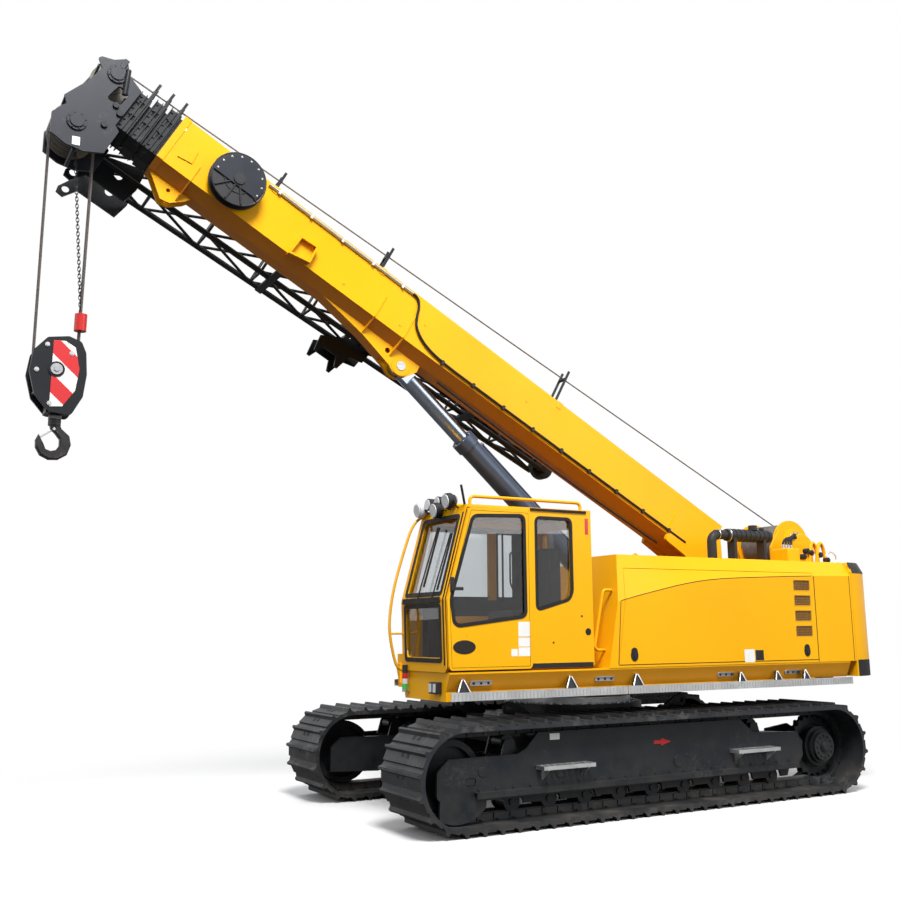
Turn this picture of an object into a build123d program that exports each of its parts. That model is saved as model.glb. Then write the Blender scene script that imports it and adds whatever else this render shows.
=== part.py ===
from build123d import *
from math import atan2, cos, degrees, hypot, pi, radians, sin
import os

# Telescopic crawler crane, in millimetres. +X is forward, +Y is the driver's side,
# +Z is up, and the origin is on the ground below the slewing axis.

os.makedirs("parts", exist_ok=True)

# ---------------------------------------------------------------- driving sizes
TRACK_MID = 1200.0          # centre line of each track from the middle
SHOE_WIDTH = 800.0
TRACK_RADIUS = 480.0        # from a wheel's centre to the grousers' tips
IDLER_X = 2268.0
SPROCKET_X = -2376.0
SHOE_COUNT = 66
CARRIERS = ((-1400.0, 745.0), (1671.0, 745.0))

DECK_Z = 1180.0             # top of the slewing frame's base plate
SILL_LOW, SILL_HIGH = 1215.0, 1388.0
SIDE_Y = 1416.0             # outer face of the machinery housing
ROOF_Z = 2514.0
CHANNEL_Y = 480.0           # half width of the free channel for the boom
TAIL_X = -3540.0
TAIL_ROUND = 535.0
HOUSING_REAR = -3000.0

LUFF_REST = 28.8            # boom angle above level, in degrees
PIVOT = Vector(-2003, 0, 2322)
ROD_PIN = (4750.0, -80.0)   # lift cylinder's upper pin, along and across the boom
HEAD_PIN = (8680.0, -75.0)  # lower head sheaves
TOP_PIN = (8662.0, 580.0)   # upper head sheave
SHEAVE_R = 215.0
REEL = (7206.0, 400.0)
REEL_R = 280.0

FOOT = Vector(-1150, 0, 1550)   # lift cylinder's lower pin
BARREL_LENGTH = 3420.0
BARREL_R, ROD_R = 118.0, 88.0
WINCH_X, WINCH_Z = -3230.0, 2800.0

CAB_IN, CAB_OUT = 500.0, 1384.0
DOOR_IN, DOOR_OUT = 1389.0, 1420.0
LOW_LEAN = atan2(22, 652)   # forward lean of the cab's lower front

boom_frame = Pos(PIVOT.X, 0, PIVOT.Z) * Rot(0, -LUFF_REST, 0)


# ---------------------------------------------------------------- shape helpers
def box(x0, x1, y0, y1, z0, z1):
    """A block between two corners."""
    middle = Pos((x0 + x1) / 2, (y0 + y1) / 2, (z0 + z1) / 2)
    return middle * Box(x1 - x0, y1 - y0, z1 - z0)


def side_plate(points, y0, y1, round_by=0):
    """An outline of (x, z) points, extruded from y0 to y1, with rounded corners if asked."""
    outline = Polyline(*[(x, y0, z) for x, z in points], close=True)
    plate = extrude(make_face(outline), amount=y1 - y0, dir=(0, 1, 0))
    return fillet(plate.edges().filter_by(Axis.Y), round_by) if round_by else plate


def flat_plate(points, z0, z1):
    """An outline of (x, y) points, extruded from z0 to z1."""
    outline = Polyline(*[(x, y, z0) for x, y in points], close=True)
    return extrude(make_face(outline), amount=z1 - z0, dir=(0, 0, 1))


def front_plate(points, x0, x1):
    """An outline of (y, z) points, extruded from x0 to x1."""
    outline = Polyline(*[(x0, y, z) for y, z in points], close=True)
    return extrude(make_face(outline), amount=x1 - x0, dir=(1, 0, 0))


def disc_y(x, z, radius, y0, y1):
    """A cylinder along Y."""
    return Pos(x, (y0 + y1) / 2, z) * Rot(90, 0, 0) * Cylinder(radius, y1 - y0)


def disc_z(x, y, radius, z0, z1):
    """A cylinder along Z."""
    return Pos(x, y, (z0 + z1) / 2) * Cylinder(radius, z1 - z0)


def disc_x(y, z, radius, x0, x1):
    """A cylinder along X."""
    return Pos((x0 + x1) / 2, y, z) * Rot(0, 90, 0) * Cylinder(radius, x1 - x0)


def rod(start, end, radius):
    """A round bar from one point to another."""
    a, b = Vector(*start), Vector(*end)
    plane = Plane(origin=a, z_dir=b - a)
    return plane * Cylinder(radius, (b - a).length, align=(Align.CENTER, Align.CENTER, Align.MIN))


def pipe(points, radius, bend):
    """A bent tube's solid along a route of points with equal bends."""
    path = FilletPolyline(*points, radius=bend)
    plane = Plane(origin=path.position_at(0), z_dir=path.tangent_at(0))
    return sweep(plane * Circle(radius), path=path)


def mirrored(shape):
    return mirror(shape, about=Plane.XZ)


def both_sides(shape):
    return shape + mirrored(shape)


def save(name, *shapes):
    """Write one node, made of one or more solids that don't touch."""
    solids = [s for shape in shapes for s in shape.solids()]
    whole = solids[0] if len(solids) == 1 else Compound(children=solids)
    whole.label = name
    export_step(whole, f"parts/{name}.step")


# ---------------------------------------------------------------- tracks
def track_loop():
    """One closed loop about y=0: shoes with a grouser each, and the link chain inside."""
    span = IDLER_X - SPROCKET_X
    neutral = TRACK_RADIUS - 60
    length = 2 * span + 2 * pi * neutral
    pitch = length / SHOE_COUNT
    # share along a shoe, depth below the grouser's tip
    shoe = [(0.0, 50), (0.05, 34), (0.52, 34), (0.60, 0), (0.71, 0), (0.79, 34)]

    def at(distance, depth):
        """A point of the loop, by its distance along the neutral line."""
        r = TRACK_RADIUS - depth
        d = distance % length
        if d < span:
            return SPROCKET_X + d, TRACK_RADIUS - r
        d -= span
        if d < pi * neutral:
            turn = d / neutral - pi / 2
            return IDLER_X + r * cos(turn), TRACK_RADIUS + r * sin(turn)
        d -= pi * neutral
        if d < span:
            return IDLER_X - d, TRACK_RADIUS + r
        turn = (d - span) / neutral + pi / 2
        return SPROCKET_X + r * cos(turn), TRACK_RADIUS + r * sin(turn)

    outline = [at((n + along) * pitch, depth) for n in range(SHOE_COUNT) for along, depth in shoe]

    def racetrack(radius, half_width):
        low, high = TRACK_RADIUS - radius, TRACK_RADIUS + radius
        long = box(SPROCKET_X, IDLER_X, -half_width, half_width, low, high)
        ends = [disc_y(x, TRACK_RADIUS, radius, -half_width, half_width) for x in (SPROCKET_X, IDLER_X)]
        return long + ends[0] + ends[1]

    half = SHOE_WIDTH / 2
    shoes = side_plate(outline, -half, half) - racetrack(TRACK_RADIUS - 78, half + 5)
    chain = racetrack(TRACK_RADIUS - 74, 95) - racetrack(TRACK_RADIUS - 150, 100)
    return shoes + chain


def sprocket():
    """Toothed drive wheel with its stepped final drive, about its own axle at the origin."""
    teeth, root, tip = 22, 300, 326
    points = []
    for n in range(teeth):
        for share, r in ((0.0, root), (0.3, tip), (0.5, tip), (0.8, root)):
            a = 2 * pi * (n + share) / teeth
            points.append((r * cos(a), r * sin(a)))
    wheel = side_plate(points, -40, 40) - disc_y(0, 0, 235, -45, 45)
    web = disc_y(0, 0, 240, -14, 14)
    hub = disc_y(0, 0, 175, -240, 175) + disc_y(0, 0, 150, 175, 215) + disc_y(0, 0, 60, 215, 232)
    return wheel + web + hub + disc_y(0, 0, 210, 100, 130)


def idler():
    """Front wheel with a raised middle flange and dished sides."""
    wheel = disc_y(0, 0, 318, -92, 92) + disc_y(0, 0, 325, -40, 40)
    dish = disc_y(0, 0, 262, 38, 95)
    wheel -= dish
    wheel -= mirrored(dish)
    return wheel + disc_y(0, 0, 120, -120, 120) + disc_y(0, 0, 80, -215, 215)


def track_frame():
    """Box frame of one side about y=0, with idler plates, skirts, lip and roller ears."""
    beam = side_plate(
        [(-1960, 312), (-2040, 420), (-2040, 560), (-1960, 640), (-1300, 648), (-1120, 756),
         (1400, 756), (1545, 640), (1760, 632), (1760, 312)], -215, 215,
    )
    skin = side_plate(
        [(-1884, 290), (-1990, 430), (-1932, 666), (-1284, 690), (-1110, 830), (1420, 830),
         (1552, 694), (1646, 650), (2370, 646), (2480, 540), (2480, 300), (1930, 274)], 215, 250,
    )
    front = skin.edges().filter_by(Axis.Y).group_by(Axis.X)[-1]
    skin = fillet(front, 55)
    skin -= side_plate([(2085, 405), (2200, 405), (2200, 475), (2085, 475)], 238, 260, 30)
    inner_skin = side_plate(
        [(1700, 300), (1700, 632), (2370, 646), (2480, 540), (2480, 300), (1930, 274)], -250, -215
    )
    guard = disc_y(IDLER_X, TRACK_RADIUS, 386, 222, 250) & box(1980, 2450, 200, 260, 94, 300)
    lip = box(-1874, 2105, 250, 305, 340, 352) + box(-1874, 2105, 293, 305, 300, 340)
    for x in (-141, 677):
        lip += box(x - 25, x + 25, 250, 305, 318, 340)
    skirt = side_plate([(-1850, 205), (-1900, 313), (1760, 313), (1700, 205)], 125, 150)
    for n in range(9):
        skirt -= disc_y(-1650 + 410 * n, 205, 104, 120, 155)
    whole = beam + skin + inner_skin + guard + lip + both_sides(skirt)
    drive_plate = side_plate(
        [(-1960, 300), (-1960, 660), (-2300, 700), (-2560, 560), (-2560, 400), (-2300, 280)], -268, -240
    )
    whole += drive_plate + box(-2040, -1960, -268, -205, 420, 600)
    for x, z in CARRIERS:
        ear = side_plate([(x - 90, 630), (x - 45, z + 30), (x + 45, z + 30), (x + 90, 630)], 132, 152)
        whole += both_sides(ear)
    return whole - disc_y(SPROCKET_X, TRACK_RADIUS, 345, -235, 300)


def roller(radius, flange, axle):
    """Roller about its own axle at the origin, with a flange each side of the chain."""
    body = disc_y(0, 0, radius, -112, 112) + disc_y(0, 0, radius * 0.45, -axle, axle)
    return body + both_sides(disc_y(0, 0, radius + flange, 100, 112))


def make_undercarriage():
    loop = track_loop()
    save("track_loop_left", Pos(0, TRACK_MID, 0) * loop)
    save("track_loop_right", Pos(0, -TRACK_MID, 0) * loop)

    frame = track_frame()
    save("track_frame_left", Pos(0, TRACK_MID, 0) * frame)
    save("track_frame_right", Pos(0, -TRACK_MID, 0) * mirrored(frame))

    drive = Pos(SPROCKET_X, TRACK_MID, TRACK_RADIUS) * sprocket()
    save("drive_sprockets", drive, mirrored(drive))
    front = Pos(IDLER_X, TRACK_MID, TRACK_RADIUS) * idler()
    save("idlers", front, mirrored(front))

    low = [Pos(-1650 + 410 * n, TRACK_MID, 218) * roller(66, 20, 125) for n in range(9)]
    save("track_rollers", *low, *[mirrored(r) for r in low])
    high = [Pos(x, TRACK_MID, z) * roller(60, 12, 132) for x, z in CARRIERS]
    save("carrier_rollers", *high, *[mirrored(r) for r in high])

    # Carbody: a raised middle box with four tapering legs, lifting eyes and the ring's seat.
    middle = flat_plate(
        [(-1050, -560), (-1050, 560), (-880, 700), (880, 700), (1050, 560), (1050, -560),
         (880, -700), (-880, -700)], 600, 880,
    )
    middle += disc_z(0, 0, 760, 870, 990)
    for x in (-740, 740):
        leg = flat_plate([(x - 280, 640), (x + 280, 640), (x + 190, 985), (x - 190, 985)], 420, 760)
        foot = box(x - 240, x + 240, 950, 985, 360, 820)
        middle += both_sides(leg + foot)
    for x, sign in ((-1050, -1), (1050, 1)):
        eye = side_plate(
            [(x - 200 * sign, 870), (x + 60 * sign, 870), (x + 150 * sign, 940), (x + 160 * sign, 1010),
             (x + 100 * sign, 1050), (x, 1020), (x - 200 * sign, 900)], 470, 500,
        )
        middle += both_sides(eye - disc_y(x + 95 * sign, 980, 28, 460, 510))
    ring = disc_z(0, 0, 640, 990, 1060) - disc_z(0, 0, 470, 980, 1070)
    save("carbody", middle)
    save("slew_ring_lower", ring)

    # Steps: gratings on brackets along each track frame.
    steps = []
    for x0, x1 in ((-1530, -945), (868, 1450)):
        step = box(x0, x1, TRACK_MID + 250, TRACK_MID + 388, 505, 540)
        bars = 8
        for n in range(bars):
            x = x0 + 25 + (x1 - x0 - 30) / bars * n
            step -= box(x, x + (x1 - x0) / bars - 25, TRACK_MID + 270, TRACK_MID + 370, 500, 545)
        for x in (x0 + 60, x1 - 72):
            y = TRACK_MID + 250
            step += front_plate([(y, 400), (y + 120, 495), (y + 120, 520), (y, 520)], x, x + 12)
        steps.append(step)
    save("track_steps", *steps, *[mirrored(s) for s in steps])


# ---------------------------------------------------------------- upper structure
def make_slew_frame():
    base = flat_plate(
        [(-3200, -900), (-3200, 900), (-2400, 1340), (2330, 1340), (2330, 520), (1500, 455),
         (1500, -455), (1500, -1340), (-2400, -1340)], 1130, DECK_Z,
    )
    plate = side_plate(
        [(-3150, DECK_Z), (-3150, 1700), (-2450, 1800), (-2210, 2420), (-2090, 2510), (-1910, 2510),
         (-1800, 2420), (-1500, 1800), (-950, 1740), (400, 1500), (1500, 1380), (1500, DECK_Z)],
        270, 305,
    )
    plate += disc_y(PIVOT.X, PIVOT.Z, 150, 270, 325)
    plate -= disc_y(PIVOT.X, PIVOT.Z, 75.1, 260, 335)
    for x, z, r in ((-1700, 1460, 130), (-600, 1430, 110), (500, 1340, 80), (-2650, 1440, 120)):
        plate -= disc_y(x, z, r, 260, 310)
    foot = side_plate(
        [(-1400, DECK_Z), (-1300, 1560), (-1230, 1690), (-1070, 1690), (-1000, 1560), (-850, DECK_Z)],
        165, 205,
    )
    foot -= disc_y(FOOT.X, FOOT.Z, 60.1, 150, 220)
    bevel = [(1300, SILL_HIGH), (1410, SILL_HIGH), (1410, 1372), (1340, SILL_LOW), (1300, SILL_LOW)]
    sill = front_plate(bevel, -2900, 2330)
    right_sill = mirrored(front_plate(bevel, -2900, 1500))
    edge = [(1300, 1130), (1300, SILL_LOW), (1340, SILL_LOW), (1340, 1130)]
    rib, right_rib = front_plate(edge, -2380, 2330), mirrored(front_plate(edge, -2380, 1500))
    ring = disc_z(0, 0, 640, 1066, 1130) - disc_z(0, 0, 470, 1060, 1140)
    pad = box(-3200, -3010, 470, 880, DECK_Z - 20, SILL_LOW)
    whole = base + ring + sill + right_sill + rib + right_rib
    for piece in (plate, foot, pad):
        whole += both_sides(piece)
    whole += box(2290, 2330, 510, 1340, 1150, SILL_HIGH)
    whole += box(700, 2330, 510, 590, DECK_Z - 20, SILL_HIGH)
    for y in (700, 1120):
        whole += box(-2300, -1150, y, y + 60, DECK_Z - 20, 1300)
    whole += box(-3150, -3110, -270, 270, DECK_Z, 1700)
    for n in range(6):
        x = -2700 + 900 * n
        gusset = front_plate([(1330, 1130), (1330, 1204), (1436, 1204), (1436, 1180)], x, x + 14)
        whole += gusset if x > 1500 else both_sides(gusset)
    save("slew_frame", whole)
    save("boom_foot_pin", disc_y(PIVOT.X, PIVOT.Z, 75, -345, 345))
    save("cylinder_foot_pin", disc_y(FOOT.X, FOOT.Z, 60, -225, -123), disc_y(FOOT.X, FOOT.Z, 60, 123, 225))

    # Side planks: an angle section with a turned-in lower lip.
    def plank(x0, x1):
        section = [(1404, 1212), (1445, 1212), (1445, 1137), (1420, 1137), (1420, 1142), (1437, 1142),
                   (1437, 1204), (1404, 1204)]
        return front_plate(section, x0, x1)

    rear = plank(-2880, 340)
    save("walkways", plank(350, 2330), rear, mirrored(rear), mirrored(plank(350, 1500)))


def make_counterweight():
    """Solid block across the tail, with rounded corners and a bevelled top edge."""
    front = HOUSING_REAR - 5
    block = box(TAIL_X, front, -SIDE_Y, SIDE_Y, SILL_LOW, 2400)
    block = fillet(block.edges().filter_by(Axis.Z).group_by(Axis.X)[0], TAIL_ROUND - 20)
    top = extrude(block.faces().sort_by(Axis.Z)[-1], amount=ROOF_Z - 2400, taper=28)
    block += top
    block -= box(TAIL_X - 10, front + 10, -CHANNEL_Y, CHANNEL_Y, 2330, 2600)
    block -= box(-3160, front + 10, -460, 460, SILL_LOW - 10, 1745)
    save("counterweight", block)


# Lower edge of the housings' shoulder bevel: how far along, how high.
SHOULDER = [(700, 1950), (373, 2043), (-90, 2147), (-862, 2280), (-2350, 2340), (-3100, 2352)]


def shoulder_cut(inward):
    """What a housing's sloping shoulder takes off, moved in by a wall's thickness."""
    def station(x, z):
        slope = 126 / (ROOF_Z - z)
        low, high = z - 60, 2640
        points = [(SIDE_Y - inward + 60 * slope, low), (SIDE_Y + 80, low), (SIDE_Y + 80, high),
                  (SIDE_Y - inward - (high - z) * slope, high)]
        return make_face(Polyline(*[(x, y, zz) for y, zz in points], close=True))

    return loft([station(x, z) for x, z in SHOULDER], ruled=True)


def make_housings():
    """Left and right machinery housings with a sweeping shoulder, and their lifting doors."""
    wall = 40.0
    cut, inner_cut = shoulder_cut(0), shoulder_cut(wall)

    profile = [(HOUSING_REAR, SILL_HIGH), (542, SILL_HIGH), (318, ROOF_Z), (HOUSING_REAR, ROOF_Z)]
    outer = side_plate(profile, CHANNEL_Y, SIDE_Y) - cut
    inner = side_plate(
        [(-2960, SILL_HIGH - 5), (502, SILL_HIGH - 5), (284, ROOF_Z - wall), (-2960, ROOF_Z - wall)],
        CHANNEL_Y + wall, SIDE_Y - wall,
    ) - inner_cut
    hole = [(-2385, SILL_HIGH + 25), (424, SILL_HIGH + 25), (270, 2375), (-2385, 2375)]
    save("housing_left", outer - inner - side_plate(hole, 1150, 1500))

    door_line = [(-2380, SILL_HIGH + 30), (419, SILL_HIGH + 30), (266, 2370), (-2380, 2370)]
    inside = box(-2500, 600, 1100, SIDE_Y - wall, 1300, 2500) - inner_cut
    door = side_plate(door_line, 1200, SIDE_Y) - cut - inside
    for row in range(4):
        z = 1664 + 168 * row
        vent = side_plate([(-2321, z), (-2049, z), (-2049, z + 128), (-2321, z + 128)], 1300, 1430, 18)
        for n in range(4):
            low = z + 16 + 28 * n
            slat = [(1376, low), (1404, low + 14), (1404, low + 20), (1376, low + 6)]
            vent -= front_plate(slat, -2330, -2040)
        door -= vent
    save("service_door_left", door)

    right_outer = mirrored(side_plate(
        [(HOUSING_REAR, SILL_HIGH), (-350, SILL_HIGH), (-350, ROOF_Z), (HOUSING_REAR, ROOF_Z)], CHANNEL_Y, SIDE_Y) - cut)
    right_inner = mirrored(side_plate(
        [(-2960, SILL_HIGH - 5), (-390, SILL_HIGH - 5), (-390, ROOF_Z - wall), (-2960, ROOF_Z - wall)],
        CHANNEL_Y + wall, SIDE_Y - wall) - inner_cut)
    right_open = box(-2385, -440, -1500, -1150, SILL_HIGH + 25, 2250)
    save("housing_right", right_outer - right_inner - right_open)
    save("service_door_right", box(-2380, -445, -SIDE_Y, -SIDE_Y + wall, SILL_HIGH + 30, 2245))

    save("engine", box(-2300, -1150, 620, 1240, 1300, 2250))
    over_sill = box(-400, 1500, -1500, -1300, DECK_Z - 10, SILL_HIGH)
    tank = box(-300, 900, -1405, -520, DECK_Z, 1900)
    tank = fillet(tank.edges().filter_by(Axis.X).group_by(Axis.Z)[-1], 60) - over_sill
    save("fuel_tank", tank - box(-280, 880, -1280, -540, DECK_Z - 5, 1880))
    deck = box(905, 1480, -1405, -520, DECK_Z, 1500) - over_sill
    save("front_deck", deck - box(925, 1460, -1280, -540, DECK_Z - 5, 1480))

    can = disc_x(800, 2829, 69, -2353, -1666)
    for n in range(9):
        can += disc_x(800, 2829, 75, -2330 + 74 * n, -2300 + 74 * n)
    can += disc_x(800, 2829, 55, -1666, -1500)
    elbow = pipe([(-1560, 800, 2829), (-1445, 800, 2829), (-1445, 800, ROOF_Z)], 55, 95)
    for x in (-2250, -1780):
        can += box(x, x + 40, 740, 860, ROOF_Z, 2800)
    save("air_filter", can + elbow)


def rounded_pane(centre, across, up, width, height, corner, thick):
    """A flat rounded block: its middle, the two edge directions, its sizes and its thickness."""
    plane = Plane(origin=centre, x_dir=across, z_dir=Vector(*across).cross(Vector(*up)))
    return extrude(plane * RectangleRounded(width, height, corner), amount=thick / 2, both=True)


def make_cab():
    """Hollow cab with windows cut, its door, panes, seat and console."""
    profile = [(700, SILL_HIGH), (2350, SILL_HIGH), (2372, 2040), (2132, 2924), (700, 2931)]
    shell = side_plate(profile, CAB_IN, CAB_OUT)
    shell = fillet(shell.edges().filter_by(Axis.X).group_by(Axis.Z)[-1], 45)
    inside = [(760, 1470), (2295, 1470), (2312, 2040), (2085, 2865), (760, 2866)]
    shell -= side_plate(inside, CAB_IN + 50, CAB_OUT - 50)
    door_hole = [(1475, 1470), (2295, 1470), (2312, 2040), (2100, 2840), (1475, 2840)]
    shell -= side_plate(door_hole, CAB_OUT - 90, CAB_OUT + 10)

    rear_line = [(1362, 1943), (985, 2046), (941, 2120), (941, 2836), (1362, 2836)]
    right_line = [(820, 1900), (2200, 1900), (2245, 2060), (2050, 2800), (820, 2800)]
    lean = degrees(atan2(240, 884))
    up = (-sin(radians(lean)), 0, cos(radians(lean)))
    middle = (2246, 0, 2454)

    def front_panes(thick, shift):
        """The sloping windscreen, the corner's quarter glass and the lower front glass."""
        out = (cos(radians(lean)) * shift, 0, sin(radians(lean)) * shift)
        at = Vector(middle[0] + out[0], 930, middle[2] + out[2])
        corner_at = Vector(middle[0] + out[0], 1336, middle[2] + out[2])
        screen = rounded_pane(at, (0, 1, 0), up, 700, 800, 50, thick)
        quarter = rounded_pane(corner_at, (0, 1, 0), up, 52, 770, 22, thick)
        low_at = Vector(2358 + shift * cos(LOW_LEAN), 940, 1745 - shift * sin(LOW_LEAN))
        low = rounded_pane(low_at, (0, 1, 0), (sin(LOW_LEAN), 0, cos(LOW_LEAN)), 720, 460, 70, thick)
        return screen, quarter, low

    screen, quarter, low = front_panes(200, -20)
    shell -= screen + low
    shell -= front_panes(50, -15)[1]
    shell -= side_plate(rear_line, CAB_OUT - 90, CAB_OUT + 10, 55)
    shell -= side_plate(right_line, CAB_IN - 10, CAB_IN + 90, 55)
    back = rounded_pane(Vector(735, 942, 2375), (0, 1, 0), (0, 0, 1), 680, 800, 60, 200)
    save("cab_shell", shell - back)

    glass = [side_plate(rear_line, CAB_OUT - 30, CAB_OUT - 22, 55),
             side_plate(right_line, CAB_IN + 22, CAB_IN + 30, 55)]
    glass += front_panes(8, -16)
    glass.append(rounded_pane(Vector(735, 942, 2375), (0, 1, 0), (0, 0, 1), 680, 800, 60, 8))
    save("cab_glass", *glass)

    door_line = [(1443, 1405), (2336, 1405), (2358, 2040), (2122, 2892), (1443, 2892)]
    window = [(1511, 1887), (2240, 1800), (2288, 1830), (2322, 2045), (2085, 2816), (1516, 2840)]
    door = side_plate(door_line, DOOR_IN, DOOR_OUT, 40) - side_plate(window, DOOR_IN - 5, DOOR_OUT + 5, 24)
    save("cab_door", door)
    save("cab_door_glass", side_plate(window, DOOR_IN + 12, DOOR_IN + 20, 24))

    seat = box(1000, 1500, 700, 1180, 1830, 1950) + box(930, 1060, 720, 1160, 1950, 2560)
    seat += box(1050, 1450, 760, 1120, 1470, 1831)
    save("operator_seat", seat)
    save("control_console", box(1950, 2200, 640, 760, 1470, 2000))

    solid_cab = side_plate(profile, CAB_IN, CAB_OUT)
    rails = [pipe([(780, y, 2915), (780, y, 3010), (2060, y, 3010), (2060, y, 2910)], 16, 45) for y in (620, 1320)]
    grab = pipe([(510, 1300, 1560), (640, 1300, 1560), (510, 1300, 2150), (400, 1300, 2150)], 15, 45)
    housing = side_plate(
        [(HOUSING_REAR, SILL_HIGH), (542, SILL_HIGH), (318, ROOF_Z), (HOUSING_REAR, ROOF_Z)], CHANNEL_Y, SIDE_Y)
    save("cab_rails", *[rail - solid_cab for rail in rails], grab - housing)
    guard = pipe([(2187, 530, 2700), (2414, 530, 2359), (2494, 530, 1842), (2326, 530, 1433)], 18, 80)
    guard += rod((2470, 530, 1760), (2340, 530, 1760), 14)
    save("front_guard", guard - solid_cab - box(2280, 2331, 500, 1340, 1150, SILL_HIGH))
    lamp = Pos(2150, 0, 2985) * Rot(0, 90, 0) * Cylinder(60, 70)
    foot = box(2090, 2130, -20, 20, 2915, 2985)
    save("work_lamps", *[Pos(0, y, 0) * (lamp + foot) - solid_cab for y in (700, 900, 1100)])


def make_winch():
    """Winch cradle with rounded cheeks, its gearbox and motor, and the grooved drum."""
    cheek = side_plate(
        [(-3530, 2330), (-3530, 2760), (-3440, 2960), (-3300, 3040), (-3140, 3040), (-2980, 2970),
         (-2830, 2760), (-2830, 2330)], 340, 368, 50,
    )
    cradle = both_sides(cheek - disc_y(WINCH_X, WINCH_Z, 90, 330, 380))
    cradle += box(-3500, -2850, -368, 368, 2330, 2370)
    for x, z in ((-3490, 2450), (-2875, 2560)):
        cradle += disc_y(x, z, 22, -345, 345)
    ring = disc_y(WINCH_X, WINCH_Z, 190, 368, 400) - disc_y(WINCH_X, WINCH_Z, 95, 360, 405)
    save("winch_cradle", cradle + ring)
    drum = disc_y(WINCH_X, WINCH_Z, 250, -310, 310)
    for y in (-325, 301):
        drum += disc_y(WINCH_X, WINCH_Z, 308, y, y + 24)
    drum += disc_y(WINCH_X, WINCH_Z, 85, -400, 430)
    save("winch_drum", drum)


# ---------------------------------------------------------------- boom
# Each section: half width, top, break of the lower bevel, underside, half width of the underside.
BASE = (214.0, 678.0, 143.0, 53.0, 95.0)
SECTIONS = [
    # name, section, rear, front, collar's rear, collar's section
    ("boom_section_1", (190.0, 642.0, 155.0, 77.0, 84.0), 300, 8095, 7975, (208.0, 662.0, 148.0, 62.0, 90.0)),
    ("boom_section_2", (166.0, 606.0, 167.0, 101.0, 73.0), 350, 8245, 8125, (200.0, 636.0, 152.0, 76.0, 84.0)),
    ("boom_section_3", (142.0, 570.0, 179.0, 125.0, 62.0), 400, 8400, 8275, (192.0, 608.0, 158.0, 90.0, 78.0)),
]
ROPE_SLOPE = 0.0531         # how the winch rope rises towards the tail, above the upper sheave


def outline(section, wall=0.0):
    """The box section seen from its end, or its inside at a wall's thickness."""
    half, top, bend, low, flat = section
    h, t, f = half - wall, top - wall, flat - 0.6 * wall
    z, b = bend + 0.5 * wall, low + wall
    return [(-h, t), (h, t), (h, z), (f, b), (-f, b), (-h, z)]


def tube(section, wall, rear, front, cavity=None):
    """A hollow length of a section; a collar takes its cavity from the tube that it holds."""
    inner = outline(cavity or section, wall)
    return front_plate(outline(section), rear, front) - front_plate(inner, rear - 5, front + 5)


def rope_guide(s, foot):
    """A goalpost across the boom with a roller under the winch rope."""
    rope = TOP_PIN[1] + SHEAVE_R - 15 + (TOP_PIN[0] - s) * ROPE_SLOPE
    guide = both_sides(box(s - 14, s + 14, 58, 72, foot, rope + 85))
    return guide + disc_y(s, rope - 24, 20, -58, 58) + box(s - 14, s + 14, -72, 72, foot, foot + 14)


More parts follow.
